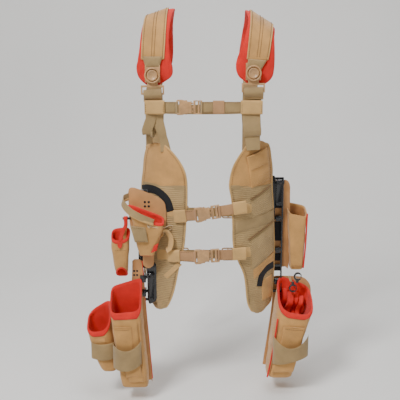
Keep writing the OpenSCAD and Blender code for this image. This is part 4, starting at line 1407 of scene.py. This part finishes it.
class VEST_OT_stage(VestStep):
    """Pale floor running up into a backdrop, soft studio lights and the camera"""
    bl_idname = "vest.stage"
    bl_label = "Stage"

    def make(self):
        self.backdrop()
        self.lights()
        self.camera()

    def backdrop(self):
        """A floor that turns up into a wall behind the vest."""
        turn = np.linspace(0, 1, 60) * np.pi / 2
        top = FLOOR_Z + SWEEP * (1 - np.cos(turn))
        y = np.concatenate([np.linspace(FLOOR_FRONT, FLOOR_BACK, 20), FLOOR_BACK + SWEEP * np.sin(turn),
                            [2.1, 2.1]])
        z = np.concatenate([np.full(20, FLOOR_Z), top, [1.6, 3.6]])
        x = np.linspace(-4, 4, 12)
        n, m = len(y), len(x)
        verts = np.stack([np.tile(x, n), np.repeat(y, m), np.repeat(z, m)], -1)
        i, j = np.meshgrid(np.arange(n - 1), np.arange(m - 1), indexing="ij")
        q = np.stack([i * m + j, i * m + j + 1, (i + 1) * m + j + 1, (i + 1) * m + j], -1).reshape(-1, 4)
        mesh = bpy.data.meshes.new("stage")
        mesh.from_pydata(verts.tolist(), [], q.tolist())
        mesh.polygons.foreach_set("use_smooth", np.full(len(q), True))
        mat, tree, bsdf = node_material("Pale stage", (0.82, 0.81, 0.79), 0.7)
        cloud = noise(tree, tree.nodes.new("ShaderNodeTexCoord").outputs["Object"], 1.5, 2)
        link(tree, ramp(tree, cloud, [(0.3, (0.80, 0.79, 0.77)), (0.7, (0.84, 0.83, 0.81))]),
             bsdf.inputs["Base Color"])
        mesh.materials.append(mat)
        show("stage", mesh)

    def lights(self):
        """Soft area lights, each turned from its place towards its aim, in a dim white room."""
        world = bpy.data.worlds.new("Studio")
        bpy.context.scene.world = world
        world.use_nodes = True
        background = world.node_tree.nodes["Background"]
        background.inputs["Color"].default_value = (1, 1, 1, 1)
        background.inputs["Strength"].default_value = 0.2
        for name, at, aim, size, power in LIGHTS:
            lamp = bpy.data.lights.new(name, "AREA")
            lamp.size = size
            lamp.energy = power
            obj = show(name, lamp)
            d = np.array(aim) - np.array(at)
            obj.location = at
            obj.rotation_euler = (math.acos(-d[2] / np.linalg.norm(d)), 0,
                                  math.atan2(d[1], d[0]) - math.pi / 2)

    def camera(self):
        """One camera in front of the vest, tipped down a little."""
        cam = bpy.data.cameras.new("camera")
        cam.sensor_width = 36
        cam.lens = CAMERA_LENS
        obj = show("camera", cam)
        obj.location = CAMERA_AT
        obj.rotation_euler = (math.radians(CAMERA_PITCH), 0, 0)
        bpy.context.scene.camera = obj


STEPS = (VEST_OT_stage, VEST_OT_shoulders, VEST_OT_hardware, VEST_OT_harness, VEST_OT_straps, VEST_OT_panels,
         VEST_OT_holder, VEST_OT_small_pouch, VEST_OT_left_bag, VEST_OT_holster, VEST_OT_right_bag,
         VEST_OT_back)


class VEST_PT_panel(bpy.types.Panel):
    """Lists the vest's sizes, colours and steps"""
    bl_label = "Tool Vest"
    bl_idname = "VEST_PT_panel"
    bl_space_type = "VIEW_3D"
    bl_region_type = "UI"
    bl_category = "Tool Vest"

    def draw(self, context):
        for group in (context.scene.vest_sizes, context.scene.vest_colours):
            for key in group.__annotations__:
                self.layout.prop(group, key)
        for step in STEPS:
            self.layout.operator(step.bl_idname)


CLASSES = (VestSizes, VestColours, *STEPS, VEST_PT_panel)


def register():
    for c in CLASSES:
        bpy.utils.register_class(c)
    bpy.types.Scene.vest_sizes = PointerProperty(type=VestSizes)
    bpy.types.Scene.vest_colours = PointerProperty(type=VestColours)


def unregister():
    del bpy.types.Scene.vest_sizes
    del bpy.types.Scene.vest_colours
    for c in reversed(CLASSES):
        bpy.utils.unregister_class(c)


def corners(box):
    """A box as plain lists of numbers."""
    return [[float(v) for v in p] for p in box]


def main():
    """Registers the add-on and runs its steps."""
    register()
    for step in STEPS:
        area, name = step.bl_idname.split(".")
        getattr(getattr(bpy.ops, area), name)()


if __name__ == "__main__":
    main()
